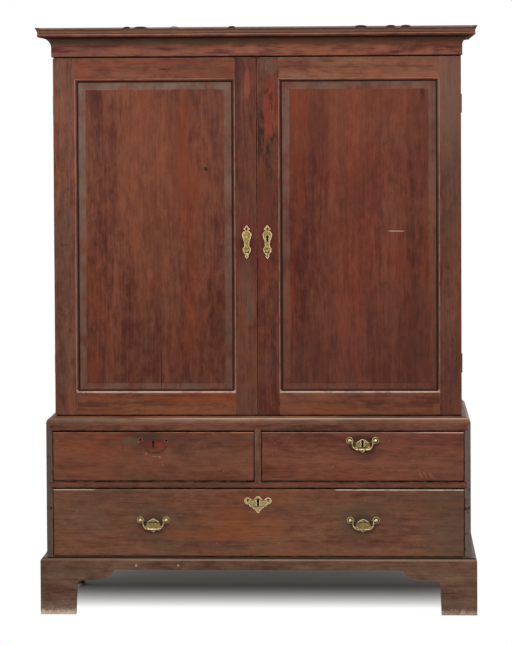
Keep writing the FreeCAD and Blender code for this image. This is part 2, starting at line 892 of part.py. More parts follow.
def handle(name, x, z):
    """A drawer handle's back plate, its two posts with their nuts, and its bail."""
    edge = "0.71 * lobe_radius"
    half = [
        ("0", "plate_peak", "1.1 * post_half"),
        ("0.48 * post_half", "-1.3 * plate_peak", "0.36 * post_half"),
        (f"post_half - {edge}", edge, "-lobe_radius"),
        ("post_half + lobe_radius", "0", "-lobe_radius"),
        (f"post_half - {edge}", f"-{edge}"),
        ("0.84 * post_half", "-0.36 * plate_drop", "-0.4 * post_half"),
        ("0.6 * post_half", "-0.59 * plate_drop"),
        ("0.47 * post_half", "-0.62 * plate_drop", "-0.4 * post_half"),
        ("0.2 * post_half", "-0.8 * plate_drop"),
        ("0.14 * post_half", "-0.9 * plate_drop"),
        ("0", "-plate_drop"),
    ]
    posts = [post(f"{name}_post_{s}", side, f"({x}) + {side} * post_half", z) for s, side in SIDES]
    backing = plate(f"{name}_blank", half, x, "lower_front", z)
    pieces = [cut(f"{name}_plate", backing, *posts)]
    for index, each in enumerate(posts):
        at = f"({x}) + {2 * index - 1} * post_half"
        nut = block(
            f"{name}_nut_{index}",
            (f"{at} - nut_width / 2", f"{at} + nut_width / 2"),
            ("front_back", "front_back + nut_thick"),
            (f"{z} - nut_width / 2", f"{z} + nut_width / 2"),
        )
        pieces += [each, cut(f"{name}_nut_{index}_bored", nut, each)]
    return pieces, posts, bail(f"{name}_bail", x, z)


def post(name, side, x, z):
    """A turned post through a drawer front, its head bored for the end of the bail.

    The head stands at the origin of the turning, which runs back along +Y.
    """
    seat = "post_out - plate_thick"
    tail = "post_out + front_thick + 1.5 * nut_thick"
    turning = [
        ("0", "-post_head"),
        ("0.5 * post_head", "-post_head"),
        ("0.95 * post_head", "-0.45 * post_head"),
        ("0.95 * post_head", "0.45 * post_head"),
        ("post_neck", "0.9 * post_head"),
        ("post_neck", f"{seat} - post_collar_thick"),
        ("post_collar", f"{seat} - post_collar_thick"),
        ("post_collar", seat),
        ("post_shank", seat),
        ("post_shank", tail),
        ("0", tail),
    ]
    body = new_body(f"{name}_turned")
    spun = body.newObject("PartDesign::Revolution", f"{name}_turning")
    profile = outline(body, "XY_Plane", turning)
    spun.Profile = profile
    spun.ReferenceAxis = (profile, ["V_Axis"])
    spun.Angle = 360
    body.Tip = spun
    put(body, x, "lower_front - post_out", z)
    # The bore is blind: it starts just past the bail's tip and opens towards the other post.
    blind, open_end = "bail_seat + bail_play", "2 * post_head"
    start = f"({x}) - ({blind})" if side < 0 else f"({x}) - {open_end}"
    wide, long = "bail_radius + bail_play", f"{blind} + {open_end}"
    bore = rod(f"{name}_bore", wide, long, start, "lower_front - post_out", z, along="x")
    return cut(name, body, bore)


def bail(name, x, z):
    """A bail of round wire that hangs from two posts, its ends turned out into their heads."""
    body = new_body(name)
    right_half = [
        ("bail_half", "0"),
        ("arm_half + bail_bend", "0"),
        ("arm_half", "-bail_bend"),
        ("arm_half", "bail_corner - bail_drop"),
        ("arm_half - 0.3 * bail_corner", "0.3 * bail_corner - bail_drop"),
        ("arm_half - bail_corner", "-bail_drop"),
    ]
    left_half = [(f"-({along})", up) for along, up in right_half]
    spine = outline(body, "XZ_Plane", left_half + right_half[::-1], closed=False)
    wire = circle(body, "YZ_Plane", "bail_radius", "-bail_half")
    pipe = body.newObject("PartDesign::AdditivePipe", f"{name}_pipe")
    pipe.Profile = wire
    pipe.Spine = spine
    pipe.Transition = "Right corner"
    body.Tip = pipe
    return put(body, x, "lower_front - post_out", z)


# ---- drawers


def drawer_side(name, x, low, high, tails):
    """A drawer side with dovetails at both ends, in front for a lapped joint, behind right through."""
    pitch = f"(({high}) - ({low})) / {tails}"
    middles = [f"{low} + {index + 0.5} * {pitch}" for index in range(tails)]
    tip = "lower_front + front_lap"
    shoulder = "drawer_rear - drawer_side"
    root, end = f"0.3 * {pitch}", f"(0.3 * {pitch} + tail_flare)"
    corners = [("front_back", low)]
    for middle in middles:
        corners += [
            ("front_back", f"{middle} - {root}"),
            (tip, f"{middle} - {end}"),
            (tip, f"{middle} + {end}"),
            ("front_back", f"{middle} + {root}"),
        ]
    corners += [("front_back", high), (shoulder, high)]
    for middle in reversed(middles):
        corners += [
            (shoulder, f"{middle} + {root}"),
            ("drawer_rear", f"{middle} + {end}"),
            ("drawer_rear", f"{middle} - {end}"),
            (shoulder, f"{middle} - {root}"),
        ]
    corners.append((shoulder, low))
    body = new_body(name)
    pad(body, outline(body, "YZ_Plane", corners), "drawer_side")
    return put(body, x)


def drawer_lock(name, x, top, drop):
    """A drawer lock let into the back of the front: its blank, its hollowed case and its bolt."""
    rear = "front_back - lock_thick"
    half, bolt_half = "lock_width / 2", "lock_bolt_width / 2"
    deep = (rear, "front_back")
    blank = block(
        f"{name}_blank", (f"({x}) - {half}", f"({x}) + {half}"), deep, (f"{top} - lock_height", top)
    )
    bolt_deep = (f"{rear} + 3", f"{rear} + 3 + lock_bolt_thick")
    bolt = block(
        f"{name}_bolt",
        (f"({x}) - {bolt_half}", f"({x}) + {bolt_half}"),
        bolt_deep,
        (f"{top} - lock_bolt_long", top),
    )
    room = block(
        f"{name}_room",
        (f"({x}) - {bolt_half} - bolt_play", f"({x}) + {bolt_half} + bolt_play"),
        (f"{bolt_deep[0]} - bolt_play", f"{bolt_deep[1]} + bolt_play"),
        (f"{top} - lock_bolt_long - bolt_play", f"{top} + 1"),
    )
    z = f"{top} - {drop}"
    wards = keyhole(f"{name}_wards", x, z, f"{rear} - 1", f"{rear} + key_depth")
    drill = rod(f"{name}_pin", "drill_pin", "key_depth", x, rear, z, along="y")
    case = joined(name, cut(f"{name}_hollow", blank, room, *wards), drill)
    return blank, case, bolt


def drawer(name, x_low, x_high, floor, ceiling, tails, drop, fittings):
    """A drawer and its lock: front, box, lock case and bolt. Fittings are what the front is bored for."""
    left, right = f"{x_low} + drawer_gap", f"{x_high} - drawer_gap"
    middle = f"(({x_low}) + ({x_high})) / 2"
    top = f"{ceiling} - drawer_top_gap"
    low, high = f"{floor} + run_play", f"{ceiling} - side_drop"
    left_side = drawer_side(f"{name}_left", left, low, high, tails)
    right_side = drawer_side(f"{name}_right", f"{right} - drawer_side", low, high, tails)
    board = (f"{low} + bottom_rise", f"{low} + bottom_rise + drawer_bottom")
    bottom = block(
        f"{name}_bottom",
        (f"{left} + drawer_side - bottom_let_in", f"{right} - drawer_side + bottom_let_in"),
        ("front_back - bottom_let_in", "drawer_rear"),
        board,
    )
    rear = block(
        f"{name}_back_blank", (left, right), ("drawer_rear - drawer_side", "drawer_rear"), (board[1], high)
    )
    box = [
        cut(f"{name}_left_grooved", left_side, bottom),
        cut(f"{name}_right_grooved", right_side, bottom),
        cut(f"{name}_back", rear, left_side, right_side),
        bottom,
    ]
    lock_blank, lock, bolt = drawer_lock(f"{name}_lock", middle, top, drop)
    z = f"{top} - {drop}"
    hole = keyhole(f"{name}_keyhole", middle, z, "lower_front - 1", "front_back - lock_thick")
    front_tall = (f"{floor} + drawer_gap", top)
    blank = block(f"{name}_front_blank", (left, right), ("lower_front", "front_back"), front_tall)
    front_name = f"{name}_front"
    seated = (left_side, right_side, bottom, lock_blank, *hole, *fittings)
    node(front_name, cut(front_name, blank, *seated))
    node(f"{name}_box", group(f"{name}_box", box))
    node(f"{name}_lock", lock)
    node(f"{name}_lock_bolt", bolt)


def post_holes(name, x, z):
    """The two empty holes that a lost handle leaves in a drawer front."""
    return [
        rod(f"{name}_{s}", "post_shank", "front_thick + 2", f"({x}) + {side} * post_half",
            "lower_front - 1", z, along="y")
        for s, side in SIDES
    ]


short_middle = "(divider_half + drawer_inside) / 2"
short_handle_z = "lower_top_low - drawer_top_gap - short_handle_drop"
long_handle_z = "rail_low - drawer_top_gap - long_handle_drop"

short_pieces, short_posts, short_bail = handle("short_handle", short_middle, short_handle_z)
node("short_drawer_right_handle", group("short_drawer_right_handle", short_pieces))
node("short_drawer_right_bail", short_bail)
long_pieces, long_posts = [], []
for side_name, side in SIDES:
    pieces, posts, swing = handle(f"long_handle_{side_name}", f"{side} * long_handle_at", long_handle_z)
    long_pieces += pieces
    long_posts += posts
    node(f"long_drawer_bail_{side_name}", swing)

lobe = "0.71 * key_plate_lobe"
lobe_at = "key_plate_gap / 2"
key_plate_half = [
    ("0", "key_plate_peak", "-key_plate_peak"),
    (f"0.27 * {lobe_at}", "0.65 * key_plate_peak"),
    (f"0.5 * {lobe_at}", "0.25 * key_plate_peak"),
    (f"{lobe_at} - {lobe}", lobe, "-key_plate_lobe"),
    (f"{lobe_at} + key_plate_lobe", "0", "-key_plate_lobe"),
    (f"{lobe_at}", "-key_plate_lobe"),
    (f"0.86 * {lobe_at}", "-0.34 * key_plate_drop"),
    (f"0.8 * {lobe_at}", "-0.49 * key_plate_drop"),
    (f"0.65 * {lobe_at}", "-0.49 * key_plate_drop", "-0.8 * key_plate_drop"),
    (f"0.24 * {lobe_at}", "-0.78 * key_plate_drop"),
    (f"0.12 * {lobe_at}", "-0.95 * key_plate_drop"),
    ("0", "-key_plate_drop"),
]
long_key_z = "rail_low - drawer_top_gap - long_lock_drop"
key_plate = plate("key_plate_blank", key_plate_half, "0", "lower_front", long_key_z)
key_cut = keyhole("key_plate_hole", "0", long_key_z, "lower_front - 5", "lower_front + 1")
long_pieces.append(cut("key_plate", key_plate, *key_cut))
node("long_drawer_handles", group("long_drawer_handles", long_pieces))

drawer(
    "short_drawer_left",
    "-drawer_inside",
    "-divider_half",
    "rail_high",
    "lower_top_low",
    3,
    "short_lock_drop",
    post_holes("lost_post", f"-{short_middle}", short_handle_z),
)
drawer(
    "short_drawer_right",
    "divider_half",
    "drawer_inside",
    "rail_high",
    "lower_top_low",
    3,
    "short_lock_drop",
    short_posts,
)
drawer(
    "long_drawer",
    "-drawer_inside",
    "drawer_inside",
    "case_floor",
    "rail_low",
    4,
    "long_lock_drop",
    long_posts,
)


def keep(name, x, ceiling):
    """The mortise that takes a drawer lock's bolt in the rail above it."""
    half = "(lock_bolt_width / 2 + bolt_play)"
    rear = "front_back - lock_thick + 3"
    return block(
        name,
        (f"({x}) - {half}", f"({x}) + {half}"),
        (f"{rear} - bolt_play", f"{rear} + lock_bolt_thick + bolt_play"),
        (ceiling, f"{ceiling} + lock_throw"),
    )


keeps = [keep(f"keep_{s}", f"{side} * {short_middle}", "lower_top_low") for s, side in SIDES]
node("drawer_rail_top", cut("drawer_rail_top", top_rail, divider, *keeps))
middle_keep = keep("keep_middle", "0", "rail_low")
node("drawer_rail_middle", cut("drawer_rail_middle", middle_rail, divider, middle_keep))


# ---- doors: framed, with an ovolo stuck on the inner arrises and a fielded panel in the groove


def frame_member(name, face, run, crossed, rail, angle, x, z):
    """A stile or a rail, its outer edge along its own +X and its face width along its own +Z.

    crossed holds the face widths of the members that it meets at its start and at its end.
    """
    section = [
        ("0", "0"),
        ("0", face),
        ("ovolo_step", face, "-ovolo"),
        ("ovolo_step + ovolo", f"{face} + ovolo"),
        ("ovolo_step + ovolo", f"{face} + lip"),
        ("groove_set", f"{face} + lip"),
        ("groove_set", face),
        ("groove_set + tongue", face),
        ("groove_set + tongue", f"{face} + lip"),
        ("door_thick", f"{face} + lip"),
        ("door_thick", "0"),
    ]
    start, stop = (crossed[0], f"{run} - {crossed[1]}") if rail else ("0", run)
    body = new_body(name)
    pad(body, outline(body, "YZ_Plane", section, lift=start), f"{stop} - ({start})")
    top = f"{face} + lip + 1"
    for end, corner, sign in ((start, crossed[0], 1), (stop, f"{run} - {crossed[1]}", -1)):
        outside = f"{end} - {sign}"
        waste = [
            (outside, face),
            (corner, face),
            (f"{corner} + {sign} * (lip + 1)", top),
            (outside, top),
        ]
        pocket(body, outline(body, "XZ_Plane", waste, lift="1"))
    if rail:
        deep = ("tenon_set", "tenon_set + tenon_thick")
        tall = ("tenon_shoulder", face)
        add_block(body, (f"{start} - tenon_long", start), deep, tall)
        add_block(body, (stop, f"{stop} + tenon_long"), deep, tall)
    return put(body, x, "door_face", z, axis=(0, 1, 0), angle=angle)


def door(side_name, side, stile_tools):
    """One door: its frame, panel, escutcheon and hinge leaves."""
    name = f"{side_name}_door"
    left, right = beside(side, "meeting_gap / 2", "upper_half")
    outer, meeting = ("left", "right") if side < 0 else ("right", "left")
    rails = [
        frame_member(
            f"{name}_bottom_rail", "bottom_rail", "door_width", ("stile", "stile"), True, 0, left, "door_low"
        ),
        frame_member(
            f"{name}_top_rail", "top_rail", "door_width", ("stile", "stile"), True, 180, right, "door_high"
        ),
    ]
    stiles = {
        "left": frame_member(
            f"{name}_left_stile_blank",
            "stile",
            "door_height",
            ("top_rail", "bottom_rail"),
            False,
            90,
            left,
            "door_high",
        ),
        "right": frame_member(
            f"{name}_right_stile_blank",
            "stile",
            "door_height",
            ("bottom_rail", "top_rail"),
            False,
            270,
            right,
            "door_low",
        ),
    }
    for rail, rail_name in zip(rails, ("bottom_rail", "top_rail")):
        node(f"{name}_{rail_name}", rail)
    stile_name = f"{name}_hinge_stile"
    seats = (*rails, *door_leaves[side_name], *hinge_rooms[side_name])
    node(stile_name, cut(stile_name, stiles[outer], *seats))
    stile_name = f"{name}_meeting_stile"
    node(stile_name, cut(stile_name, stiles[meeting], *rails, *stile_tools))
    node(f"{name}_hinge_leaves", group(f"{name}_hinge_leaves", door_leaves[side_name]))
    node(f"{name}_panel", panel(f"{name}_panel", left, right))


def panel(name, left, right):
    """A fielded panel: a thin edge in the grooves, a long bevel, a sharp step up to the field."""
    back = ("groove_set", "groove_set + tongue")
    play = "stile + panel_play"
    edge = block(
        f"{name}_edge",
        (f"{left} + {play}", f"{right} - ({play})"),
        tuple(f"door_face + {y}" for y in back),
        ("door_low + bottom_rail + panel_play", "door_high - top_rail - panel_play"),
    )
    sight = ("stile + lip", "bottom_rail + lip", "top_rail + lip")
    inset = [f"{each} + bevel_width" for each in sight]
    bevel = doc.addObject("Part::Wedge", f"{name}_bevel")
    rise_low = "groove_set - bevel_rise"
    bind(
        bevel,
        Xmin=inset[0],
        Xmax=f"door_width - ({inset[0]})",
        Zmin=inset[1],
        Zmax=f"door_height - ({inset[2]})",
        X2min=sight[0],
        X2max=f"door_width - ({sight[0]})",
        Z2min=sight[1],
        Z2max=f"door_height - ({sight[2]})",
        Ymin=rise_low,
        Ymax="groove_set",
    )
    put(bevel, left, "door_face", "door_low")
    field = block(
        f"{name}_field",
        (f"{left} + {inset[0]}", f"{right} - ({inset[0]})"),
        (f"door_face + {rise_low} - field_step", f"door_face + {rise_low}"),
        (f"door_low + {inset[1]}", f"door_high - ({inset[2]})"),
    )
    return joined(name, edge, bevel, field)


lock_rear = "door_back - lock_thick"
lock_left = "meeting_gap / 2"
lock_mid = "door_lock_height - key_tall / 2"
bolt_deep = (f"{lock_rear} + 3", f"{lock_rear} + 3 + lock_bolt_thick")
bolt_tall = (f"{lock_mid} - lock_bolt_width / 2", f"{lock_mid} + lock_bolt_width / 2")
lock_blank = block(
    "door_lock_blank",
    (lock_left, f"{lock_left} + door_lock_reach"),
    (lock_rear, "door_back"),
    (f"{lock_mid} - lock_width / 2", f"{lock_mid} + lock_width / 2"),
)
door_bolt = block(
    "right_door_lock_bolt", (lock_left, f"{lock_left} + lock_bolt_long"), bolt_deep, bolt_tall
)
eased = {
    "y": (f"{bolt_deep[0]} - bolt_play", f"{bolt_deep[1]} + bolt_play"),
    "z": (f"{bolt_tall[0]} - bolt_play", f"{bolt_tall[1]} + bolt_play"),
}
bolt_room = block("door_bolt_room", ("0", f"{lock_left} + lock_bolt_long + bolt_play"), **eased)
bolt_keep = block("door_bolt_keep", (f"-{lock_left} - lock_throw", "0"), **eased)
key_x = f"{lock_left} + escutcheon_set"
wards = keyhole("door_wards", key_x, "door_lock_height", f"{lock_rear} - 1", f"{lock_rear} + key_depth")
drill = rod("door_drill_pin", "drill_pin", "key_depth", key_x, lock_rear, "door_lock_height", along="y")
door_lock = joined(
    "right_door_lock", cut("door_lock_hollow", lock_blank, bolt_room, *wards), drill
)
node("right_door_lock", door_lock)
node("right_door_lock_bolt", door_bolt)
node("left_door_bolt_top", bolt_top)
node("left_door_bolt_bottom", bolt_bottom)

door_hole = keyhole("door_keyhole", key_x, "door_lock_height", "door_face - 5", lock_rear)
escutcheon_z = "door_lock_height - escutcheon_key_rise"
node(
    "left_door_escutcheon",
    plate("left_door_escutcheon", escutcheon_half, f"-({key_x})", "door_face", escutcheon_z),
)
escutcheon_blank = plate("right_escutcheon_blank", escutcheon_half, key_x, "door_face", escutcheon_z)
node("right_door_escutcheon", cut("right_door_escutcheon", escutcheon_blank, *door_hole))
door("left", -1, (*bolt_top_room, *bolt_bottom_room, bolt_keep))
door("right", 1, (lock_blank, *door_hole))

doc.recompute()
troubled = [thing.Label for thing in doc.Objects if {"Invalid", "Error"} & set(thing.State)]
if troubled:
    raise RuntimeError(f"these did not build: {troubled}")
for each in nodes:
    if each.Shape.isNull() or not each.Shape.isValid() or not each.Shape.Solids:
        raise RuntimeError(f"{each.Label} has no sound shape")
os.makedirs("parts", exist_ok=True)
for each in nodes:
    each.Shape.exportStep(f"parts/{each.Label}.step")
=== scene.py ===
from math import cos, pi, radians, sin

import bmesh
import bpy
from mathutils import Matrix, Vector, noise


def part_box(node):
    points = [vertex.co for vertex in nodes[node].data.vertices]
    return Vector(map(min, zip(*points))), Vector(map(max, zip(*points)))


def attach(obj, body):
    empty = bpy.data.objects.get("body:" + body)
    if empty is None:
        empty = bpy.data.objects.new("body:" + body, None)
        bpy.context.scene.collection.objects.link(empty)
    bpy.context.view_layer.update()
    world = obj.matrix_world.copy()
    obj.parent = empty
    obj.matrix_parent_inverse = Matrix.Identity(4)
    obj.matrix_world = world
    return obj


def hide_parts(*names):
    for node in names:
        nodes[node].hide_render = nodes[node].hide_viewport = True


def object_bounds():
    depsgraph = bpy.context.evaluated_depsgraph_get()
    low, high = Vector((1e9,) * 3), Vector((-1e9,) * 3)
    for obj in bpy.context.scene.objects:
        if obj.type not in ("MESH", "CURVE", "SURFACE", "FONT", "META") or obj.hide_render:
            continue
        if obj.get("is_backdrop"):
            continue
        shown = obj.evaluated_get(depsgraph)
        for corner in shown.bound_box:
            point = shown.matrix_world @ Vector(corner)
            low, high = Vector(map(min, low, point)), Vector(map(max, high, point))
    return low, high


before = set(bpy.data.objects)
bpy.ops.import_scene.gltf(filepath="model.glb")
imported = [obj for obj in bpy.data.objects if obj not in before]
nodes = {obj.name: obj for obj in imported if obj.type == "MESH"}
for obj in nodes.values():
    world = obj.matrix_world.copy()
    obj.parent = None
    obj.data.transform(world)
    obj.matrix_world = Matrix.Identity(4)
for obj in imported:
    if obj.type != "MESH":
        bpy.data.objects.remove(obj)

solid_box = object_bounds()
scene = bpy.context.scene
scene.view_settings.view_transform = "Standard"


# ---- The room: the camera stands in front of the right-hand door at the height of a standing
# person's eyes, on a pale floor that keeps the press's shadow, in an even white surround.

camera = bpy.data.objects.new("camera", bpy.data.cameras.new("camera"))
camera.data.lens = 152.87
camera.data.shift_x, camera.data.shift_y = 0.00125, -0.17
camera.location = (0.403, -9.252, 1.649)
camera.rotation_euler = (radians(90 - 2.08), radians(0.296), radians(2.59))
scene.collection.objects.link(camera)
scene.camera = camera


class Link:
    """The output of one node. Sums and products of links add their own Math nodes."""

    def __init__(self, tree, socket):
        self.tree, self.socket = tree, socket

    def node(self, kind, settings=None, values=None, out=0):
        """Any other node: its type, its settings, the values or links of its sockets."""
        made = self.tree.nodes.new(f"ShaderNode{kind}")
        for key, value in (settings or {}).items():
            setattr(made, key, value)
        for key, value in (values or {}).items():
            if isinstance(value, Link):
                self.tree.links.new(value.socket, made.inputs[key])
            else:
                made.inputs[key].default_value = value
        return Link(self.tree, made.outputs[out])

    def math(self, operation, first, second=0.0):
        return self.node("Math", {"operation": operation}, {0: first, 1: second})

    def __add__(self, other):
        return self.math("ADD", self, other)

    def __sub__(self, other):
        return self.math("SUBTRACT", self, other)

    def __rsub__(self, other):
        return self.math("SUBTRACT", other, self)

    def __mul__(self, other):
        return self.math("MULTIPLY", self, other)

    def __truediv__(self, other):
        return self.math("DIVIDE", self, other)

    __radd__, __rmul__ = __add__, __mul__

    def size(self):
        return self.math("ABSOLUTE", self)

    def least(self, other):
        return self.math("MINIMUM", self, other)

    def most(self, other):
        return self.math("MAXIMUM", self, other)

    def between(self, low, high):
        """0 at low, 1 at high, eased at both ends."""
        settings = {"interpolation_type": "SMOOTHSTEP"}
        return self.node("MapRange", settings, {0: self, 1: low, 2: high})

    def over(self, under, colour):
        """This link as the mask with which a colour covers the one under it."""
        return self.node("Mix", {"data_type": "RGBA"}, {0: self, 6: under, 7: colour}, out=2)

    def stretched(self, x, y, z):
        settings = {"operation": "MULTIPLY"}
        return self.node("VectorMath", settings, {0: self, 1: (x, y, z)})

    def moved(self, x, y, z):
        return self.node("VectorMath", {"operation": "ADD"}, {0: self, 1: (x, y, z)})

    def cloud(self, scale, detail=2.0, rough=0.5, bend=0.0):
        values = {"Vector": self, "Scale": scale, "Detail": detail}
        return self.node("TexNoise", None, {**values, "Roughness": rough, "Distortion": bend})

    def axis(self, index):
        return self.node("SeparateXYZ", None, {0: self}, out=index)


def paint(red, green, blue):
    """A colour as it is seen on a card, 0 to 255, as the shader's own numbers."""
    def plain(value):
        value = value / 255
        return value / 12.92 if value < 0.04045 else ((value + 0.055) / 1.055) ** 2.4
    return plain(red), plain(green), plain(blue), 1.0


def new_finish(name):
    """An empty material, where its pattern starts, and the shader that it feeds."""
    finish = bpy.data.materials.new(name)
    finish.use_nodes = True
    tree = finish.node_tree
    place = Link(tree, tree.nodes.new("ShaderNodeTexCoord").outputs["Object"])
    return finish, place, tree.nodes["Principled BSDF"]


def feed(shader, **wires):
    """Sets or wires the shader's sockets, which are named with _ for a space."""
    for key, value in wires.items():
        socket = shader.inputs[key.replace("_", " ")]
        if isinstance(value, Link):
            value.tree.links.new(value.socket, socket)
        else:
            socket.default_value = value


floor_shape = bmesh.new()
bmesh.ops.create_grid(floor_shape, x_segments=2, y_segments=2, size=40)
floor_mesh = bpy.data.meshes.new("floor")
floor_shape.to_mesh(floor_mesh)
floor = bpy.data.objects.new("floor", floor_mesh)
floor.location.z = -0.0004
scene.collection.objects.link(floor)
floor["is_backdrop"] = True
floor_finish, place, shader = new_finish("floor")
feed(shader, Base_Color=paint(183, 178, 174), Roughness=0.9, Specular_IOR_Level=0.1)
floor_mesh.materials.append(floor_finish)
# The floor goes over to white beside the press and, slowly, towards the camera.
beside = place.axis(0).size().between(0.64, 0.71)
nearer = ((0.295 - place.axis(1)) / 0.47).most(0).least(1)
before = nearer * nearer
tree = floor_finish.node_tree
seen = Link(tree, tree.nodes.new("ShaderNodeLightPath").outputs["Is Camera Ray"])
white = seen.node("Emission", None, {0: (1, 1, 1, 1), 1: 1.0})
lit = Link(tree, shader.outputs[0])
both = seen.node("MixShader", None, {0: beside.most(before) * seen, 1: lit, 2: white})
tree.links.new(both.socket, tree.nodes["Material Output"].inputs[0])

world = bpy.data.worlds.new("surround")
world.use_nodes = True
scene.world = world
tree = world.node_tree
seen = Link(tree, tree.nodes.new("ShaderNodeLightPath").outputs["Is Camera Ray"])
rays = seen.socket.node.outputs
mirrored = Link(tree, rays["Is Glossy Ray"]).most(Link(tree, rays["Is Transmission Ray"]))
white = seen.node("Background", None, {0: (1, 1, 1, 1), 1: 1.0})
way = Link(tree, tree.nodes.new("ShaderNodeTexCoord").outputs["Generated"])
ahead, up = way.axis(1) * -1, way.axis(2)
bright = (ahead.most(0) + up.most(0) * 0.5) * up.between(0, 0.4) * ahead.between(-0.4, 0.3)
bright = bright + 0.06 + (ahead * -1).between(0.2, 0.8) * 0.16
glow = seen.node("Background", None, {0: (1, 0.99, 0.97, 1), 1: bright})
both = seen.node("MixShader", None, {0: seen.most(mirrored), 1: glow, 2: white})
tree.links.new(both.socket, tree.nodes["World Output"].inputs[0])

for name, where, wide, power in (
    ("key", (-0.8, -3.6, 3.9), 2.0, 102),
    ("fill", (2.6, -4.6, 2.2), 3.0, 20),
):
    lamp = bpy.data.lights.new(name, "AREA")
    lamp.size, lamp.energy = wide, power
    holder = bpy.data.objects.new(name, lamp)
    holder.location = where
    aim = Vector((0, 0, 1.1)) - Vector(where)
    holder.rotation_euler = aim.to_track_quat("-Z", "Y").to_euler()
    scene.collection.objects.link(holder)


# ---- The upper case: two mahogany sides, a pine top and bottom and upright pine planks at the
# back, with oak runners inside and four oak trays on them for the linen. The mahogany was polished
# long ago: it has worn pale on its arrises and gone grey where the polish has bloomed.

GRAIN = {"x": (0.035, 1, 1), "y": (1, 0.035, 1), "z": (1, 1, 0.035)}


def mahogany(name, along, tone, bloom=0.2, streaks=1.0, seed=0, marks=None):
    """Polished mahogany with its grain along an axis. Marks are laid over it at the end."""
    red, green, blue = tone
    finish, place, shader = new_finish(name)
    start = place.moved(0.37 * seed, 0.61 * seed, 0.23 * seed)
    # The tree's figure: long stripes that sway, fine lines, open pores, broad bands and blotches.
    sway = {0: start.cloud(2.2, 1), 1: (0.03, 0.03, 0.03), 2: start}
    wavy = start.node("VectorMath", {"operation": "MULTIPLY_ADD"}, sway)
    grain = wavy.stretched(*GRAIN[along])
    stripe = grain.cloud(34, 5, 0.62)
    fine = wavy.stretched(*[max(s, 0.06) for s in GRAIN[along]]).cloud(150, 3, 0.6)
    pores = grain.cloud(520, 1).between(0.60, 0.68)
    slow = start.stretched(*[max(s, 0.2) for s in GRAIN[along]])
    broad = slow.cloud(5.5, 3, 0.55, 0.6)
    blotch = start.stretched(*[max(s, 0.5) for s in GRAIN[along]]).cloud(44, 4, 0.66)
    haze = start.cloud(6, 5, 0.62).between(0.45, 0.75)
    mixed = (stripe - 0.5) * (1.15 * streaks) + (fine - 0.5) * (0.9 * streaks) + (broad - 0.5) * 1.5
    mixed = mixed + (blotch - 0.5) * (1.5 * streaks)
    light, dark = (red * 1.22, green * 1.24, blue * 1.16), (red * 0.72, green * 0.56, blue * 0.56)
    colour = (mixed + 0.5).between(-0.1, 1.1).over(paint(*dark), paint(*light))
    # Its hue wanders between orange and olive, and old polish lies on it as a grey haze.
    warm = slow.moved(3, 1, 2).cloud(8, 3, 0.6, 0.4).between(0.5, 0.72)
    colour = (warm * 0.62).over(colour, paint(red * 1.26, green * 1.02, blue * 0.74))
    dull = slow.moved(1, 4, 2).cloud(9, 4, 0.62, 0.4).between(0.48, 0.7)
    colour = (dull * 0.36).over(colour, paint(red * 0.82, green * 1.06, blue * 1.04))
    colour = (pores * 0.3).over(colour, paint(40, 18, 12))
    colour = (haze * bloom).over(colour, paint(94, 76, 62))
    colour = (start.cloud(170, 2).between(0.68, 0.8) * 0.2).over(colour, paint(150, 108, 84))
    if marks:
        for mask, tint in marks(place):
            colour = mask.over(colour, tint)
    rubbed = Link(place.tree, place.tree.nodes.new("ShaderNodeAttribute").outputs["Fac"])
    rubbed.socket.node.attribute_name = "arris"
    worn = rubbed * start.cloud(38, 4, 0.65).between(0.38, 0.62) * 0.6
    colour = worn.over(colour, paint(162, 108, 84))
    height = fine * 0.5 + stripe * 0.3 - pores * 0.5
    bump = place.node("Bump", None, {"Height": height, "Strength": 0.12, "Distance": 0.0006})
    gloss = 0.46 + haze * 0.14 + (fine - 0.5) * 0.1 + worn * 0.1
    feed(shader, Base_Color=colour, Roughness=gloss, Normal=bump, Specular_IOR_Level=0.14)
    return finish


def join_up(name, shape, finish, body, replaced):
    """Makes a shape a piece of the press that moves with a body in place of a node."""
    mesh = bpy.data.meshes.new(name)
    shape.to_mesh(mesh)
    shape.free()
    mesh.materials.append(finish)
    piece = bpy.data.objects.new(name, mesh)
    scene.collection.objects.link(piece)
    even = piece.modifiers.new("even", "WEIGHTED_NORMAL")
    even.keep_sharp = True
    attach(piece, body)
    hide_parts(replaced)
    return piece


def smoothed(shape, angle=28):
    """Shades a shape smooth except across its sharp arrises."""
    for face in shape.faces:
        face.smooth = True
        face.material_index = 0
    for edge in shape.edges:
        edge.smooth = edge.is_manifold and edge.calc_face_angle(0) < radians(angle)


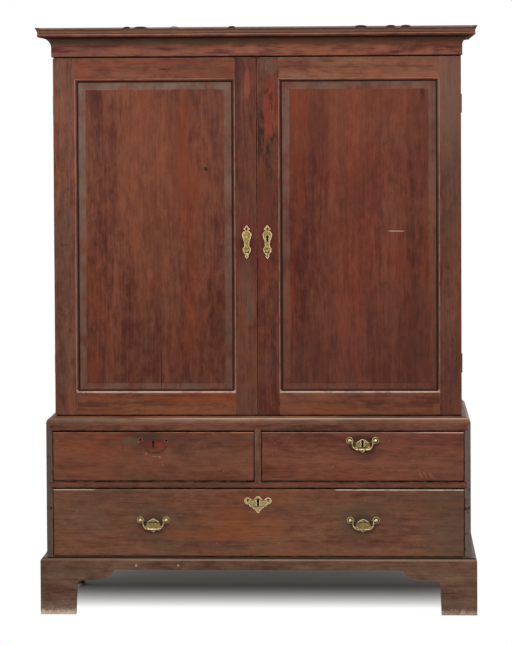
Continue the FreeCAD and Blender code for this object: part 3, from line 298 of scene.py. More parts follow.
def rubbed_copy(node, body, finish, wide=0.0012, shaping=None, joint=None, shortest=0.0144):
    """A board with its arrises rubbed round, in place of the sharp one.

    The arrises at the height of a joint, where it is glued to another board, stay sharp, and
    so do those shorter than the shortest. The rounded faces carry the mark by which the finish
    wears pale there. Nothing is let out of the sharp board's box.
    """
    shape = bmesh.new()
    shape.from_mesh(nodes[node].data)
    bmesh.ops.remove_doubles(shape, verts=shape.verts, dist=1e-6)
    bmesh.ops.dissolve_limit(shape, angle_limit=radians(0.5), verts=shape.verts, edges=shape.edges)
    arrises = []
    for edge in shape.edges:
        if joint and all(abs(vertex.co.z - joint) < 0.0005 for vertex in edge.verts):
            continue
        if edge.is_manifold and edge.is_convex and edge.calc_face_angle(0) > radians(40):
            thinnest = min(face.calc_area() for face in edge.link_faces) / edge.calc_length()
            if thinnest > 2.5 * wide and edge.calc_length() > shortest:
                arrises.append(edge)
    rounded = bmesh.ops.bevel(
        shape, geom=arrises, affect="EDGES", offset=wide, segments=2, profile=0.5, material=-1,
        clamp_overlap=False,
    )
    mark = shape.loops.layers.float_color.new("arris")
    for face in shape.faces:
        for loop in face.loops:
            loop[mark] = (0, 0, 0, 1)
    for face in rounded["faces"]:
        for loop in face.loops:
            loop[mark] = (1, 1, 1, 1)
    if shaping:
        shaping(shape)
    low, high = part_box(node)
    for vertex in shape.verts:
        vertex.co = [min(max(c, a), b) for c, a, b in zip(vertex.co, low, high)]
    smoothed(shape)
    return join_up(f"{node}_rubbed", shape, finish, body, node)


for index, side in enumerate(("left", "right")):
    finish = mahogany(f"upper_side_{side}", "z", (92, 58, 47), 0.35, seed=3 + index)
    rubbed_copy(f"upper_side_{side}", "case", finish)


def bare_wood(name, along, light, dark, seed=0):
    """Unpolished wood: pale growth rings in long stripes, greyed and dusty with age."""
    finish, place, shader = new_finish(name)
    start = place.moved(0.37 * seed, 0.61 * seed, 0.23 * seed)
    grain = start.stretched(*GRAIN[along])
    rings = grain.cloud(26, 4, 0.6)
    fine = grain.cloud(210, 3, 0.6)
    grime = start.cloud(5, 4, 0.6).between(0.5, 0.75)
    colour = ((rings - 0.5) * 1.6 + (fine - 0.5) * 0.5 + 0.5).between(0, 1).over(dark, light)
    colour = (grime * 0.45).over(colour, paint(92, 74, 58))
    height = fine + rings * 0.5
    bump = place.node("Bump", None, {"Height": height, "Strength": 0.25, "Distance": 0.0008})
    rough = 0.78 + grime * 0.12
    feed(shader, Base_Color=colour, Roughness=rough, Normal=bump, Specular_IOR_Level=0.15)
    return finish


def dress(name, finish):
    """A node of the frame keeps its shape and gets its finish."""
    for slot in nodes[name].material_slots:
        slot.material = finish


pine_x = bare_wood("pine_across", "x", paint(170, 134, 94), paint(128, 92, 60), 1)
pine_z = bare_wood("pine_upright", "z", paint(150, 116, 82), paint(108, 78, 52), 3)
oak_x = bare_wood("oak_across", "x", paint(150, 116, 78), paint(106, 76, 48), 4)
oak_y = bare_wood("oak_back_to_front", "y", paint(150, 116, 78), paint(106, 76, 48), 5)
dress("upper_top_board", pine_x)
dress("upper_bottom_board", pine_x)
dress("upper_back_boards", pine_z)
dress("tray_runners", oak_y)
dress("linen_trays", oak_x)


# ---- The cornice: a mahogany crown moulding mitred at the corners and glued to a pine frame.
# Its top edge is ragged, with splinters of the old dust board still standing on it.

SPLINTERS = ((-0.4207, 0.012), (-0.3764, 0.022), (-0.2667, 0.013), (-0.0769, 0.012),
             (0.3439, 0.02), (0.4415, 0.016), (0.4903, 0.016))  # middle and half width
PALE_SPLINTER = -0.2667  # the one that broke off lately
CREST, CREST_TALL = 1.922, 0.013  # the topmost member of the moulding: its foot and its height
CREST_BACK = -0.292  # how far back its wear goes
BEAD, QUIRK, COVE = 1.911, 1.8985, 1.872  # the heights of the members below it
FRIEZE_TOP, FRIEZE_FOOT = 1.874, 1.8392


def ragged(shape):
    """Cuts the cornice across every few millimetres and wears its top edge down unevenly."""
    def slice_at(point, normal):
        geometry = shape.verts[:] + shape.edges[:] + shape.faces[:]
        bmesh.ops.bisect_plane(shape, geom=geometry, dist=1e-7, plane_co=point, plane_no=normal)
    slice_at((0, CREST_BACK, 0), (0, 1, 0))
    slice_at((0, 0, CREST), (0, 0, 1))
    for step in range(-120, 121):
        slice_at((0.006 * step + 0.0015 * sin(7.3 * step), 0, 0), (1, 0, 0))
    for vertex in shape.verts:
        x, y, z = vertex.co
        if z > CREST + 0.0005 and y < CREST_BACK - 0.0005:
            wear = 0.0062 + 0.0020 * (x + 0.72) / 1.44
            wear += 0.0012 * noise.noise(Vector((x * 60, 2, 0)))
            for middle, half in SPLINTERS:
                wear *= 1 - max(0, 1 - ((x - middle) / half) ** 4)
            if abs(x) > 0.712:
                wear *= 0.3
            vertex.co.z -= max(0, wear) * (z - CREST) / CREST_TALL
        elif z > CREST + CREST_TALL - 0.001:
            standing = max(1 - ((x - middle) / half) ** 4 for middle, half in SPLINTERS)
            vertex.co.z -= 0.0025 * (1 - max(0, standing) * (y < CREST_BACK + 0.002))


def line(distance, wide):
    """A thin line where a distance is nought."""
    return (wide - distance.size()).between(0, wide * 0.7)


def cornice_marks(place):
    """Painted shade in the quirks and under the frieze, grey in the cove, blacker and redder
    streaks along the frieze.
    """
    across, up = place.axis(0), place.axis(2)
    streak = place.stretched(0.12, 1, 1).cloud(70, 3, 0.6)
    yield (up - BEAD).between(0, 0.003) * 0.55, paint(112, 90, 77)
    cove = (up - COVE).between(0, 0.008) * (1.9 - up).between(0, 0.002)
    yield cove * 0.55, paint(98, 80, 66)
    frieze = (FRIEZE_TOP - up).between(0, 0.004)
    yield frieze * (0 - across).between(0, 0.5) * 0.25, paint(78, 44, 38)
    yield frieze * streak.between(0.5, 0.62) * 0.6, paint(96, 36, 30)
    yield frieze * streak.between(0.60, 0.68) * 0.7, paint(58, 22, 18)
    # Painted shade in the quirk above the bead.
    yield line(up - 1.9125, 0.0022) * 0.7, paint(66, 38, 28)
    yield line(up - 1.9095, 0.0022) * 0.5, paint(164, 116, 96)
    # Painted shadow under the corona, and in the gap under the frieze.
    yield line(up - QUIRK, 0.0042) * 0.85, paint(38, 16, 12)
    yield (FRIEZE_FOOT - up).between(0, 0.0015) * 0.85, paint(30, 14, 10)
    front = (-0.284 - place.axis(1) + (streak - 0.5) * 0.02).between(0, 0.004)
    for middle, half in SPLINTERS:
        lump = (half - (across - middle).size()).between(0, 0.003) * front
        tint = paint(140, 124, 116) if middle == PALE_SPLINTER else paint(48, 32, 26)
        yield lump * (up - 1.9280).between(0, 0.001), tint


finish = mahogany("cornice", "x", (116, 70, 57), 0.4, 1.2, 5, cornice_marks)
rubbed_copy("cornice_moulding", "case", finish, shaping=ragged)
dress("cornice_frame", pine_x)


# ---- The doors: each a mortised frame with an ovolo stuck on its inner arrises and a fielded
# panel loose in the grooves, flat in the middle with a wide bevel round it.

SIGHT = 0.0075  # how far the panel runs on behind the ovolo
FIELD = 0.0325  # from the panel's edge to its flat field
DOOR_FOOT = 0.6572  # where the shadow of the gap under the doors begins
DOOR_TONES = {  # the way of the grain, the tone, how much it has bloomed, and its own figure
    ("left_door", "hinge_stile"): ("z", (103, 63, 52), 0.3, 10),
    ("left_door", "meeting_stile"): ("z", (91, 50, 40), 0.25, 11),
    ("left_door", "top_rail"): ("x", (104, 60, 46), 0.15, 12),
    ("left_door", "bottom_rail"): ("x", (110, 65, 46), 0.1, 13),
    ("left_door", "panel"): ("z", (98, 55, 42), 0.15, 30),
    ("right_door", "hinge_stile"): ("z", (95, 57, 48), 0.35, 17),
    ("right_door", "meeting_stile"): ("z", (98, 53, 42), 0.25, 18),
    ("right_door", "top_rail"): ("x", (118, 75, 59), 0.2, 19),
    ("right_door", "bottom_rail"): ("x", (103, 61, 46), 0.12, 20),
    ("right_door", "panel"): ("z", (96, 50, 39), 0.15, 31),
}


def inset(place, node):
    """How far in from the edges of a board a point lies, seen from the front."""
    low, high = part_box(node)
    across, up = place.axis(0), place.axis(2)
    sideways = (across - low.x).least(high.x - across)
    return sideways.least((up - low.z).least(high.z - up))


def round_the_panel(door):
    """Painted shade in the quirk round the panel and in the gap under the doors, and painted
    highlights on the ovolo.
    """
    low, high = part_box(f"{door}_panel")

    def marks(place):
        rim = inset(place, f"{door}_panel")
        below = (low.z + SIGHT + 0.0015 - place.axis(2)).between(0, 0.001)
        worn = place.cloud(26, 3, 0.6).between(0.34, 0.55)
        # Painted shade in the quirk where the panel goes into the groove.
        yield (rim - SIGHT + 0.0035).between(0, 0.0012) * 0.85, paint(34, 15, 11)
        # Painted shadow in the gap under the doors.
        yield (DOOR_FOOT - place.axis(2)).between(0, 0.0014) * 0.85, paint(30, 14, 10)
        # A painted highlight along the ovolo's outer arris, brighter in worn patches.
        yield line(rim + 0.0012, 0.0022) * (0.25 + worn * 0.45), paint(168, 128, 108)
        # A painted highlight on the bottom ovolo, which faces up to the light.
        lit = below * (rim + 0.001).between(0, 0.001) * (SIGHT - 0.0030 - rim).between(0, 0.001)
        yield lit * (0.5 + worn * 0.4), paint(190, 160, 142)
    return marks


def spot(place, x, z, wide, tall):
    """A soft round patch, seen from the front: 1 in its middle, 0 past its rim."""
    across = (place.axis(0) - x) / wide
    up = (place.axis(2) - z) / tall
    return (1 - across * across - up * up).between(0, 0.8)


def stroke(place, start, end, wide):
    """A thin straight mark from start to end, seen from the front."""
    run = Vector(end) - Vector(start)
    long = run.length
    along = run / long
    across, up = place.axis(0) - start[0], place.axis(2) - start[1]
    down_it = across * along.x + up * along.y
    off_it = (across * -along.y + up * along.x).size()
    ends = down_it.between(0, 0.2 * long) * (long - down_it).between(0, 0.2 * long)
    return (wide - off_it).between(0, wide) * ends


def patches(place, rows, cloud):
    """Soft patches: middle x and z, half width and height, strength, colour.

    A row that gives two more numbers is broken up by a cloud, between those two levels of it.
    """
    for x, z, wide, tall, strength, tint, *levels in rows:
        mask = spot(place, x, z, wide, tall) * strength
        if levels:
            mask = mask * cloud.between(*levels)
        yield mask, paint(*tint)


def scratches(place, rows):
    """Thin straight marks: where each starts and ends, its width, strength and colour."""
    for start, end, wide, strength, tint in rows:
        yield stroke(place, start, end, wide) * strength, paint(*tint)


def panel_marks(door):
    """The bevel of a panel has bloomed grey with a painted sheen, a painted highlight runs along
    the field, and painted shade lies in the groove round it.
    """
    # How strong the grey bloom and painted sheen on the bevel are.
    bloom = 0.38 if door == "left_door" else 0.1

    def marks(place):
        across, up = place.axis(0), place.axis(2)
        rim = inset(place, f"{door}_panel")
        left = (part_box(f"{door}_panel")[1].x - 0.06 - across).between(0, 0.004)
        patchy = place.cloud(16, 4, 0.6).between(0.3, 0.7)
        bevel = (FIELD - rim).between(0, 0.0015)
        high, low = up.between(0.9, 1.5), (0.74 - up).between(0, 0.03)
        strength = (left * 0.1 + high * 0.3 + low * 0.35 + bloom) * (patchy * 1.1 + 0.3)
        # Grey bloom and painted sheen on the bevel, stronger towards the top and at the bottom.
        yield bevel * strength, paint(113, 90, 78)
        # A painted highlight along the arris of the field.
        yield line(rim - FIELD, 0.0022) * patchy * (0.1 + high * 0.3), paint(150, 118, 100)
        # Painted shade in the groove round the panel.
        yield (SIGHT + 0.0035 - rim).between(0, 0.002) * 0.8, paint(30, 14, 11)
        flame = place.stretched(1, 1, 0.3).cloud(9, 4, 0.55, 1.4)
        field = (rim - FIELD).between(0, 0.002)
        if door == "left_door":
            yield field * flame.between(0.52, 0.72) * 0.4, paint(70, 32, 26)
            yield field * spot(place, -0.35, 1.42, 0.13, 0.5) * 0.24, paint(146, 82, 54)
            # Painted shade: the field darkens towards the bottom, away from the light above.
            yield field * (1.08 - up).between(0, 0.35) * 0.2, paint(70, 32, 28)
            yield from patches(place, (
                (-0.1685, 1.4667, 0.007, 0.008, 1, (44, 20, 16)),
                (-0.3557, 1.1241, 0.013, 0.02, 0.35, (136, 86, 66)),
                (-0.3397, 1.0348, 0.02, 0.06, 0.35, (66, 28, 22)),
            ), None)
            crack = stroke(place, (-0.3187, 0.885), (-0.3194, 0.73), 0.0022)
            yield crack, paint(30, 14, 10)
        else:
            yield field * flame.between(0.5, 0.7) * 0.32, paint(66, 30, 26)
            # Painted light and shade: the field is lighter towards the top and darker towards the
            # bottom.
            yield field * up.between(1.4, 1.75) * 0.25, paint(140, 78, 50)
            yield field * (1.15 - up).between(0, 0.45) * 0.24, paint(56, 26, 26)
            yield field * spot(place, 0.31, 1.34, 0.13, 0.5) * 0.16, paint(146, 68, 42)
            yield field * (across - 0.42).between(0, 0.12) * 0.16, paint(46, 24, 20)
            yield field * spot(place, 0.545, 1.70, 0.012, 0.05) * patchy * 0.8, paint(46, 20, 18)
            yield from scratches(place, (
                ((0.388, 1.527), (0.437, 1.559), 0.0022, 0.7, (60, 30, 24)),
                ((0.428, 1.2604), (0.4875, 1.2602), 0.0022, 1, (196, 160, 140)),
            ))
    return marks


FRAME_PATCHES = {
    ("left_door", "meeting_stile"): (
        (-0.03, 1.745, 0.013, 0.065, 0.5, (152, 72, 56)),
        (-0.034, 1.222, 0.05, 0.11, 0.4, (84, 30, 28)),
        # a painted shadow round the escutcheon
        (-0.034, 1.222, 0.026, 0.068, 0.5, (40, 20, 16)),
        (-0.0222, 0.995, 0.02, 0.05, 0.4, (96, 80, 68)),
        (-0.035, 1.08, 0.03, 0.14, 0.25, (92, 74, 62)),
    ),
    ("right_door", "meeting_stile"): (
        (0.034, 1.222, 0.05, 0.11, 0.35, (80, 30, 28)),
        # a painted shadow round the escutcheon, and painted shade in its keyhole
        (0.034, 1.222, 0.026, 0.068, 0.5, (40, 20, 16)),
        (0.034, 1.2375, 0.009, 0.02, 1, (12, 8, 7)),
        (0.045, 1.66, 0.03, 0.13, 0.4, (150, 58, 42)),
        (0.034, 1.60, 0.05, 0.2, 0.8, (44, 20, 17), 0.48, 0.62),
        (0.034, 1.36, 0.05, 0.13, 0.3, (58, 32, 27)),
        (0.03, 1.80, 0.05, 0.04, 0.5, (106, 92, 82), 0.4, 0.6),
        (0.05, 1.0, 0.03, 0.3, 0.5, (60, 28, 22), 0.5, 0.65),
    ),
    ("left_door", "top_rail"): (
        (-0.18, 1.798, 0.12, 0.006, 0.5, (84, 56, 44)),
        (-0.30, 1.796, 0.03, 0.004, 0.7, (52, 26, 20)),
    ),
}
FRAME_SCRATCHES = {
    ("left_door", "hinge_stile"): (
        ((-0.6545, 1.2179), (-0.6206, 1.2185), 0.002, 0.8, (48, 28, 22)),
    ),
    ("left_door", "meeting_stile"): (
        ((-0.045, 1.70), (-0.036, 1.53), 0.004, 0.7, (66, 36, 28)),
    ),
}


def frame_marks(door, member):
    """The wear of one rail or stile: bruises, patches of red where the colour has lifted, and
    painted shade and light round the brass and down the right hinge stile.
    """
    quirks = round_the_panel(door)

    def marks(place):
        up = place.axis(2)
        grit = place.stretched(1, 1, 0.25).cloud(60, 4, 0.7)
        yield from patches(place, FRAME_PATCHES.get((door, member), ()), grit)
        yield from scratches(place, FRAME_SCRATCHES.get((door, member), ()))
        if (door, member) == ("right_door", "hinge_stile"):
            # Painted light and shade: lighter towards the top, darker towards the bottom.
            yield up.between(1.35, 1.7) * 0.4, paint(134, 100, 84)
            yield (1.08 - up).between(0, 0.35) * 0.3, paint(60, 28, 24)
        if member == "bottom_rail":
            low = 0.672 - up + (grit - 0.5) * 0.03
            yield low.between(0, 0.01) * 0.35, paint(132, 74, 44)
        yield from quirks(place)
    return marks


for (door, member), (along, tone, bloom, seed) in DOOR_TONES.items():
    if member == "panel":
        marks, streaks, wide = panel_marks(door), 1.1, 0.0006
    else:
        marks, streaks, wide = frame_marks(door, member), 1.0, 0.0012
    finish = mahogany(f"{door}_{member}", along, tone, bloom, streaks, seed, marks)
    rubbed_copy(f"{door}_{member}", door, finish, wide)


# ---- Brass and iron of the doors: butt hinges let into the stiles, a lock behind the right
# meeting stile with its bolt, and two flush bolts in the edge of the left one. On each meeting
# stile is a pierced escutcheon, the left one blind, with a pin where the other has its keyhole.

def old_brass(name, light, dark, marks=None):
    """Cast brass, rubbed bright where hands reach it and given a painted highlight there, and brown
    with tarnish in the hollows.
    """
    finish, place, shader = new_finish(name)
    tarnish = place.cloud(150, 4, 0.65).between(0.36, 0.6)
    colour = (tarnish * 0.85).over(light, dark)
    rubbed = Link(place.tree, place.tree.nodes.new("ShaderNodeAttribute").outputs["Fac"])
    rubbed.socket.node.attribute_name = "arris"
    # Where marked rubbed: worn bright, with a painted highlight.
    colour = (rubbed * (1 - tarnish * 0.45)).over(colour, paint(255, 232, 180))
    colour = (place.cloud(330, 2).between(0.58, 0.68) * 0.5).over(colour, paint(58, 44, 28))
    if marks:
        for mask, tint in marks(place):
            colour = mask.over(colour, tint)
    values = {"Height": place.cloud(620, 3, 0.6), "Strength": 0.3, "Distance": 0.0005}
    bump = place.node("Bump", None, values)
    # Less metal where rubbed, so that the painted highlight keeps its colour.
    metal, rough = (0.75 - tarnish * 0.4) * (1 - rubbed * 0.6), 0.34 + tarnish * 0.25
    feed(shader, Base_Color=colour, Metallic=metal, Roughness=rough, Normal=bump)
    feed(shader, Specular_IOR_Level=0.3)
    return finish


def old_iron(name):
    """Iron gone brown and dull, with rust in specks."""
    finish, place, shader = new_finish(name)
    rust = place.cloud(140, 4, 0.65).between(0.42, 0.62)
    colour = rust.over(paint(98, 94, 90), paint(84, 54, 36))
    values = {"Height": place.cloud(500, 3), "Strength": 0.3, "Distance": 0.0004}
    bump = place.node("Bump", None, values)
    metal, rough = 0.9 - rust * 0.6, 0.42 + rust * 0.3
    feed(shader, Base_Color=colour, Metallic=metal, Roughness=rough, Normal=bump)
    return finish


brass = old_brass("brass", paint(184, 152, 76), paint(98, 78, 32))
dull_brass = old_brass("brass_never_polished", paint(104, 80, 52), paint(56, 40, 28))
iron = old_iron("iron")
for node in ("case_hinge_leaves", "left_door_hinge_leaves", "right_door_hinge_leaves",
             "left_door_bolt_top", "left_door_bolt_bottom"):
    dress(node, dull_brass)
dress("right_door_lock", iron)
dress("right_door_lock_bolt", iron)

SHEET = 0.0016  # the thickness of the brass plates
SHEET_ARRIS = 0.0004  # how far their arrises are rubbed round
SHEET_RIM = 0.0017  # how wide a band along their rims is rubbed bright, with a painted highlight


def keyhole(top, tall):
    """A hole for the key: round at both ends and pinched between them. In millimetres."""
    outline = []
    for radius, middle, turn in ((5, top - 5, -130), (4.6, top - tall + 4.6, 50)):
        for angle in range(turn, turn + 261, 26):
            way = radians(angle)
            outline.append((radius * sin(way), middle + radius * cos(way)))
    return outline


def ring_hole(x, z, radius, count=12):
    """A small round hole of a few sides. In millimetres."""
    turn = 2 * pi / count
    return [(x + radius * cos(turn * i), z + radius * sin(turn * i)) for i in range(count)]


def stamped(loops, x, y, z, shine=0.12):
    """Sheet brass sawn to an outline and pierced, its back against y, its rim rubbed brightest,
    with a painted highlight.
    """
    curve = bpy.data.curves.new("outline", "CURVE")
    curve.dimensions, curve.fill_mode = "2D", "BOTH"
    curve.extrude = SHEET / 2 - SHEET_ARRIS
    curve.bevel_depth, curve.offset = SHEET_ARRIS, -SHEET_ARRIS
    curve.bevel_resolution = 1
    for loop in loops:
        saw_cut = curve.splines.new("POLY")
        saw_cut.points.add(len(loop) - 1)
        for point, (across, up) in zip(saw_cut.points, loop):
            point.co = (across / 1000, up / 1000, 0, 1)
        saw_cut.use_cyclic_u = True
    holder = bpy.data.objects.new("outline", curve)
    flat = bpy.data.meshes.new_from_object(holder)
    shape = bmesh.new()
    shape.from_mesh(flat)
    bpy.data.objects.remove(holder)
    bpy.data.meshes.remove(flat)
    bmesh.ops.remove_doubles(shape, verts=shape.verts, dist=1e-6)
    for vertex in shape.verts:
        across, up, out = vertex.co
        vertex.co = (x + across, y - SHEET / 2 - out, z + up)
    bmesh.ops.recalc_face_normals(shape, faces=shape.faces)
    face_side = [face for face in shape.faces if face.normal.y < -0.99]
    rim = bmesh.ops.inset_region(
        shape, faces=face_side, thickness=SHEET_RIM, depth=0, use_even_offset=False,
    )["faces"]
    mark = shape.loops.layers.float_color.new("arris")
    for faces, light in ((shape.faces, shine), (rim, 1)):
        for face in faces:
            for loop in face.loops:
                loop[mark] = (light, light, light, 1)
    return shape


def rounded(points, steps=4):
    """Runs a smooth line through rough points; a point given with a third value stays sharp."""
    smooth = []
    count = len(points)
    for index in range(count):
        last, here = points[index - 1], points[index]
        after, later = points[(index + 1) % count], points[(index + 2) % count]
        span = Vector(after[:2]) - Vector(here[:2])
        start = span if len(here) > 2 else (Vector(after[:2]) - Vector(last[:2])) / 2
        end = span if len(after) > 2 else (Vector(later[:2]) - Vector(here[:2])) / 2
        for step in range(steps):
            t = step / steps
            bow = 2 * t ** 3 - 3 * t ** 2
            point = (bow + 1) * Vector(here[:2]) - bow * Vector(after[:2])
            point += (t ** 3 - 2 * t ** 2 + t) * start + (t ** 3 - t ** 2) * end
            smooth.append(tuple(point))
    return smooth


def both_halves(half):
    """A closed outline from its right half, which runs from top to bottom."""
    return list(half) + [(-p[0], *p[1:]) for p in reversed(half) if p[0] > 0]


def brightened(shape, front):
    """Marks what stands proud of a plate's flat face as rubbed bright, with a painted highlight."""
    mark = shape.loops.layers.float_color["arris"]
    for face in shape.faces:
        if face.calc_center_median().y < front - 0.0002:
            for loop in face.loops:
                loop[mark] = (1, 1, 1, 1)


# The right half of the outline from top to bottom, in millimetres from its middle
ESCUTCHEON = (
    (0, 56, 1), (3.5, 53.5), (4.5, 50), (10.3, 45), (8.5, 41), (5, 38), (7, 36.5), (10, 35),
    (14, 30), (15.4, 24.6), (14, 17), (11, 7.5), (8.6, 0), (8, -6), (8, -12), (10, -17),
    (15.4, -21, 1), (13.5, -24), (13, -27), (12.5, -31), (10, -35), (7, -39), (5, -42.5),
    (7, -45), (5, -49), (0, -56, 1),
)
PIERCINGS = [ring_hole(0, 43.5, 1.9), ring_hole(5, -30, 2.2), ring_hole(-5, -30, 2.2),
             ring_hole(0, -40, 1.5)]
outline = rounded(both_halves(ESCUTCHEON))
for side, holes in (("left", []), ("right", [keyhole(22.5, 20)])):
    node = f"{side}_door_escutcheon"
    low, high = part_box(node)
    middle = (low + high) / 2
    shape = stamped([outline, *PIERCINGS, *holes], middle.x, high.y, middle.z)
    if side == "left":
        pin = bmesh.ops.create_uvsphere(shape, u_segments=16, v_segments=8, radius=0.003)["verts"]
        for vertex in pin:
            vertex.co.y *= 0.6
            vertex.co += Vector((middle.x, high.y - SHEET, middle.z + 0.0176))
    smoothed(shape, 50)
    brightened(shape, high.y - SHEET)
    join_up(f"{node}_pierced", shape, brass, f"{side}_door", node)


# ---- The lower case: mahogany sides and rails round the three drawers, with a moulding at the
# waist to hold the upper case. Behind them are pine boards and the oak guides of the drawers.

for node in ("lower_top_board", "dust_board", "lower_bottom_board"):
    dress(node, pine_x)
dress("lower_back_boards", pine_z)
dress("drawer_guides", oak_y)


def edge_marks(place):
    """The front edges of the case sides are grey and chipped, the right-hand one the more so."""
    chips = place.cloud(90, 3, 0.6)
    edge = (-0.272 - place.axis(1)).between(0, 0.004)
    yield edge * 0.9, paint(88, 76, 69)
    yield edge * place.axis(0).between(0, 0.1) * 0.9, paint(102, 90, 85)
    yield edge * chips.between(0.58, 0.66) * 0.6, paint(46, 30, 24)
    yield edge * line(place.axis(2) - 0.3494, 0.008) * chips.between(0.4, 0.5), paint(52, 26, 20)


for index, side in enumerate(("left", "right")):
    finish = mahogany(
        f"lower_side_{side}", "z", (92, 60, 48), 0.3, seed=50 + index, marks=edge_marks
    )
    rubbed_copy(f"lower_side_{side}", "case", finish)


RAIL_EDGES = (0.4160, 0.4370, 0.6050)  # where shade is painted in the gaps over and under the drawers


def rail_marks(place):
    """Orange where the drawers have rubbed the rail bare, near the left end, and painted shade in
    the gaps along its edges.
    """
    across = place.axis(0)
    rub = place.stretched(0.2, 1, 1).cloud(60, 3, 0.6).between(0.5, 0.6)
    yield rub * (-0.3 - across).between(0, 0.15) * 0.4, paint(140, 80, 54)
    # Painted shade in the gaps along the rail's edges.
    for edge in RAIL_EDGES:
        yield line(place.axis(2) - edge, 0.0046) * 0.85, paint(26, 12, 9)


finish = mahogany("drawer_rails", "x", (98, 60, 49), 0.25, seed=53, marks=rail_marks)
for node in ("drawer_rail_top", "drawer_rail_middle"):
    rubbed_copy(node, "case", finish, shortest=0.2)
finish = mahogany("drawer_divider", "z", (104, 70, 58), 0.3, seed=54)
rubbed_copy("drawer_divider", "case", finish)


def waist_marks(place):
    """A painted highlight along the top of the waist's round, broken up by wear and stronger
    towards the right, and painted shade under it.
    """
    across, up = place.axis(0), place.axis(2)
    worn = place.stretched(0.1, 1, 1).cloud(50, 3, 0.6).between(0.3, 0.5)
    right = across.between(-0.5, -0.1)
    # Painted highlight on the round, broken up by wear.
    yield line(up - 0.6445, 0.0028) * worn * (0.15 + right * 0.6), paint(188, 164, 148)
    # Painted shade under the round.
    yield (0.640 - up).between(0, 0.004) * 0.35, paint(98, 60, 46)


finish = mahogany("waist_moulding", "x", (115, 82, 67), 0.35, 1.0, 55, waist_marks)
rubbed_copy("waist_moulding", "case", finish, wide=0.0015)


# ---- The base moulding and the bracket feet: each foot is two mahogany boards mitred together
# and cut to a curve, glued under the moulding and to pine blocks in the corner behind. Brooms
# and mops have scuffed them bare.

foot_wood = bare_wood("pine_in_the_feet", "z", paint(184, 156, 124), paint(150, 124, 96), 6)
dress("foot_blocks", foot_wood)


FOOT_TALL = 0.148  # up to where the base moulding is glued on
BASE_TOP = 0.1842  # where the case stands on the base moulding


def foot_marks(place):
    """Scuffed bare in pale specks that crowd together towards the floor, more on the left foot,
    with painted shade towards the back.
    """
    across, up, deep = place.axis(0), place.axis(2), place.axis(1)
    rough = place.cloud(60, 4, 0.7)
    damp = (0.07 - up + (rough - 0.5) * 0.09).between(0, 0.05)
    yield damp * 0.3, paint(84, 66, 56)
    left = 0.35 + (0.1 - across).between(0, 0.2) * 0.65
    specks = (place.cloud(480, 4, 0.75) + (0.028 - up) * 4).between(0.42, 0.7)
    yield specks * (0.055 - up).between(0, 0.025) * left * 0.75, paint(170, 144, 126)
    worn = (0.021 - up + (rough - 0.5) * 0.02).between(0, 0.014)
    yield worn * (left * 0.6 + rough.between(0.45, 0.6) * 0.3), paint(216, 190, 166)
    # Painted shade: the feet darken towards the back, under the press.
    behind = (deep + 0.15).between(0, 0.1)
    yield behind * 0.6, paint(52, 40, 34)


def base_marks(place):
    """A greyed top edge with a pale line along it, painted shadow in its joint with the case, and
    two filled nail holes.
    """
    across, up = place.axis(0), place.axis(2)
    yield (up - 0.176).between(0, 0.006) * 0.35, paint(112, 94, 80)
    yield line(up - 0.180, 0.0022) * across.between(-0.55, -0.3) * 0.4, paint(168, 138, 118)
    front = (-0.28 - place.axis(1)).between(0, 0.002)
    # Painted shadow in the joint between the base and the case.
    yield (up - BASE_TOP).between(0, 0.0014) * front * 0.95, paint(14, 7, 5)
    for x, z in ((-0.4019, 0.1624), (-0.2632, 0.1627)):
        yield spot(place, x, z, 0.0045, 0.0055) * 0.8, paint(180, 150, 122)


finish = mahogany("base_moulding", "x", (98, 70, 58), 0.3, 0.9, 56, base_marks)
rubbed_copy("base_moulding", "case", finish, wide=0.0015, joint=FOOT_TALL)
finish = mahogany("feet", "x", (102, 77, 65), 0.3, 0.9, 56, foot_marks)
for node in ("front_feet", "rear_feet"):
    rubbed_copy(node, "case", finish, joint=FOOT_TALL)


# ---- The drawers: mahogany fronts dovetailed to boxes of oak, each with an iron lock behind its
# front, worn pale along the top. The left-hand short drawer has lost its handle, which has left
# two holes and a patch of unfaded red where its plate was.

DRAWER_PATCHES = {
    "short_drawer_left": (
        (-0.33, 0.558, 0.22, 0.05, 0.5, (64, 48, 38), 0.42, 0.6),
        (-0.345, 0.585, 0.1, 0.028, 0.35, (60, 44, 36)),
        (-0.42, 0.57, 0.035, 0.02, 0.4, (98, 84, 66)),
        (-0.344, 0.560, 0.05, 0.02, 0.5, (70, 34, 26)),
        (-0.344, 0.562, 0.045, 0.014, 0.5, (118, 50, 38)),
        (-0.325, 0.557, 0.012, 0.012, 0.5, (138, 60, 44)),
        (-0.3867, 0.5763, 0.009, 0.009, 0.7, (138, 64, 46)),
        (-0.3867, 0.5763, 0.0045, 0.0045, 1, (30, 14, 10)),
        (-0.3018, 0.573, 0.009, 0.009, 0.7, (138, 64, 46)),
        (-0.3018, 0.573, 0.0045, 0.0045, 1, (30, 14, 10)),
    ),
    "short_drawer_right": (
        (0.345, 0.55, 0.085, 0.06, 0.45, (58, 36, 30), 0.35, 0.55),
        # a painted shadow round and under the handle
        (0.345, 0.563, 0.062, 0.034, 0.6, (46, 22, 18)),
        # painted shade in the keyhole
        (0.345, 0.5624, 0.009, 0.02, 1, (12, 8, 7)),
    ),
    "long_drawer": (
        (-0.346, 0.31, 0.14, 0.07, 0.55, (76, 64, 48), 0.3, 0.6),
        # a painted shadow under the left handle
        (-0.346, 0.299, 0.06, 0.034, 0.55, (44, 28, 22)),
        (0.346, 0.31, 0.14, 0.07, 0.55, (76, 64, 48), 0.3, 0.6),
        # a painted shadow under the right handle
        (0.346, 0.299, 0.06, 0.034, 0.55, (44, 28, 22)),
        # painted shade in the keyhole
        (0, 0.3679, 0.009, 0.022, 1, (12, 8, 7)),
    ),
}
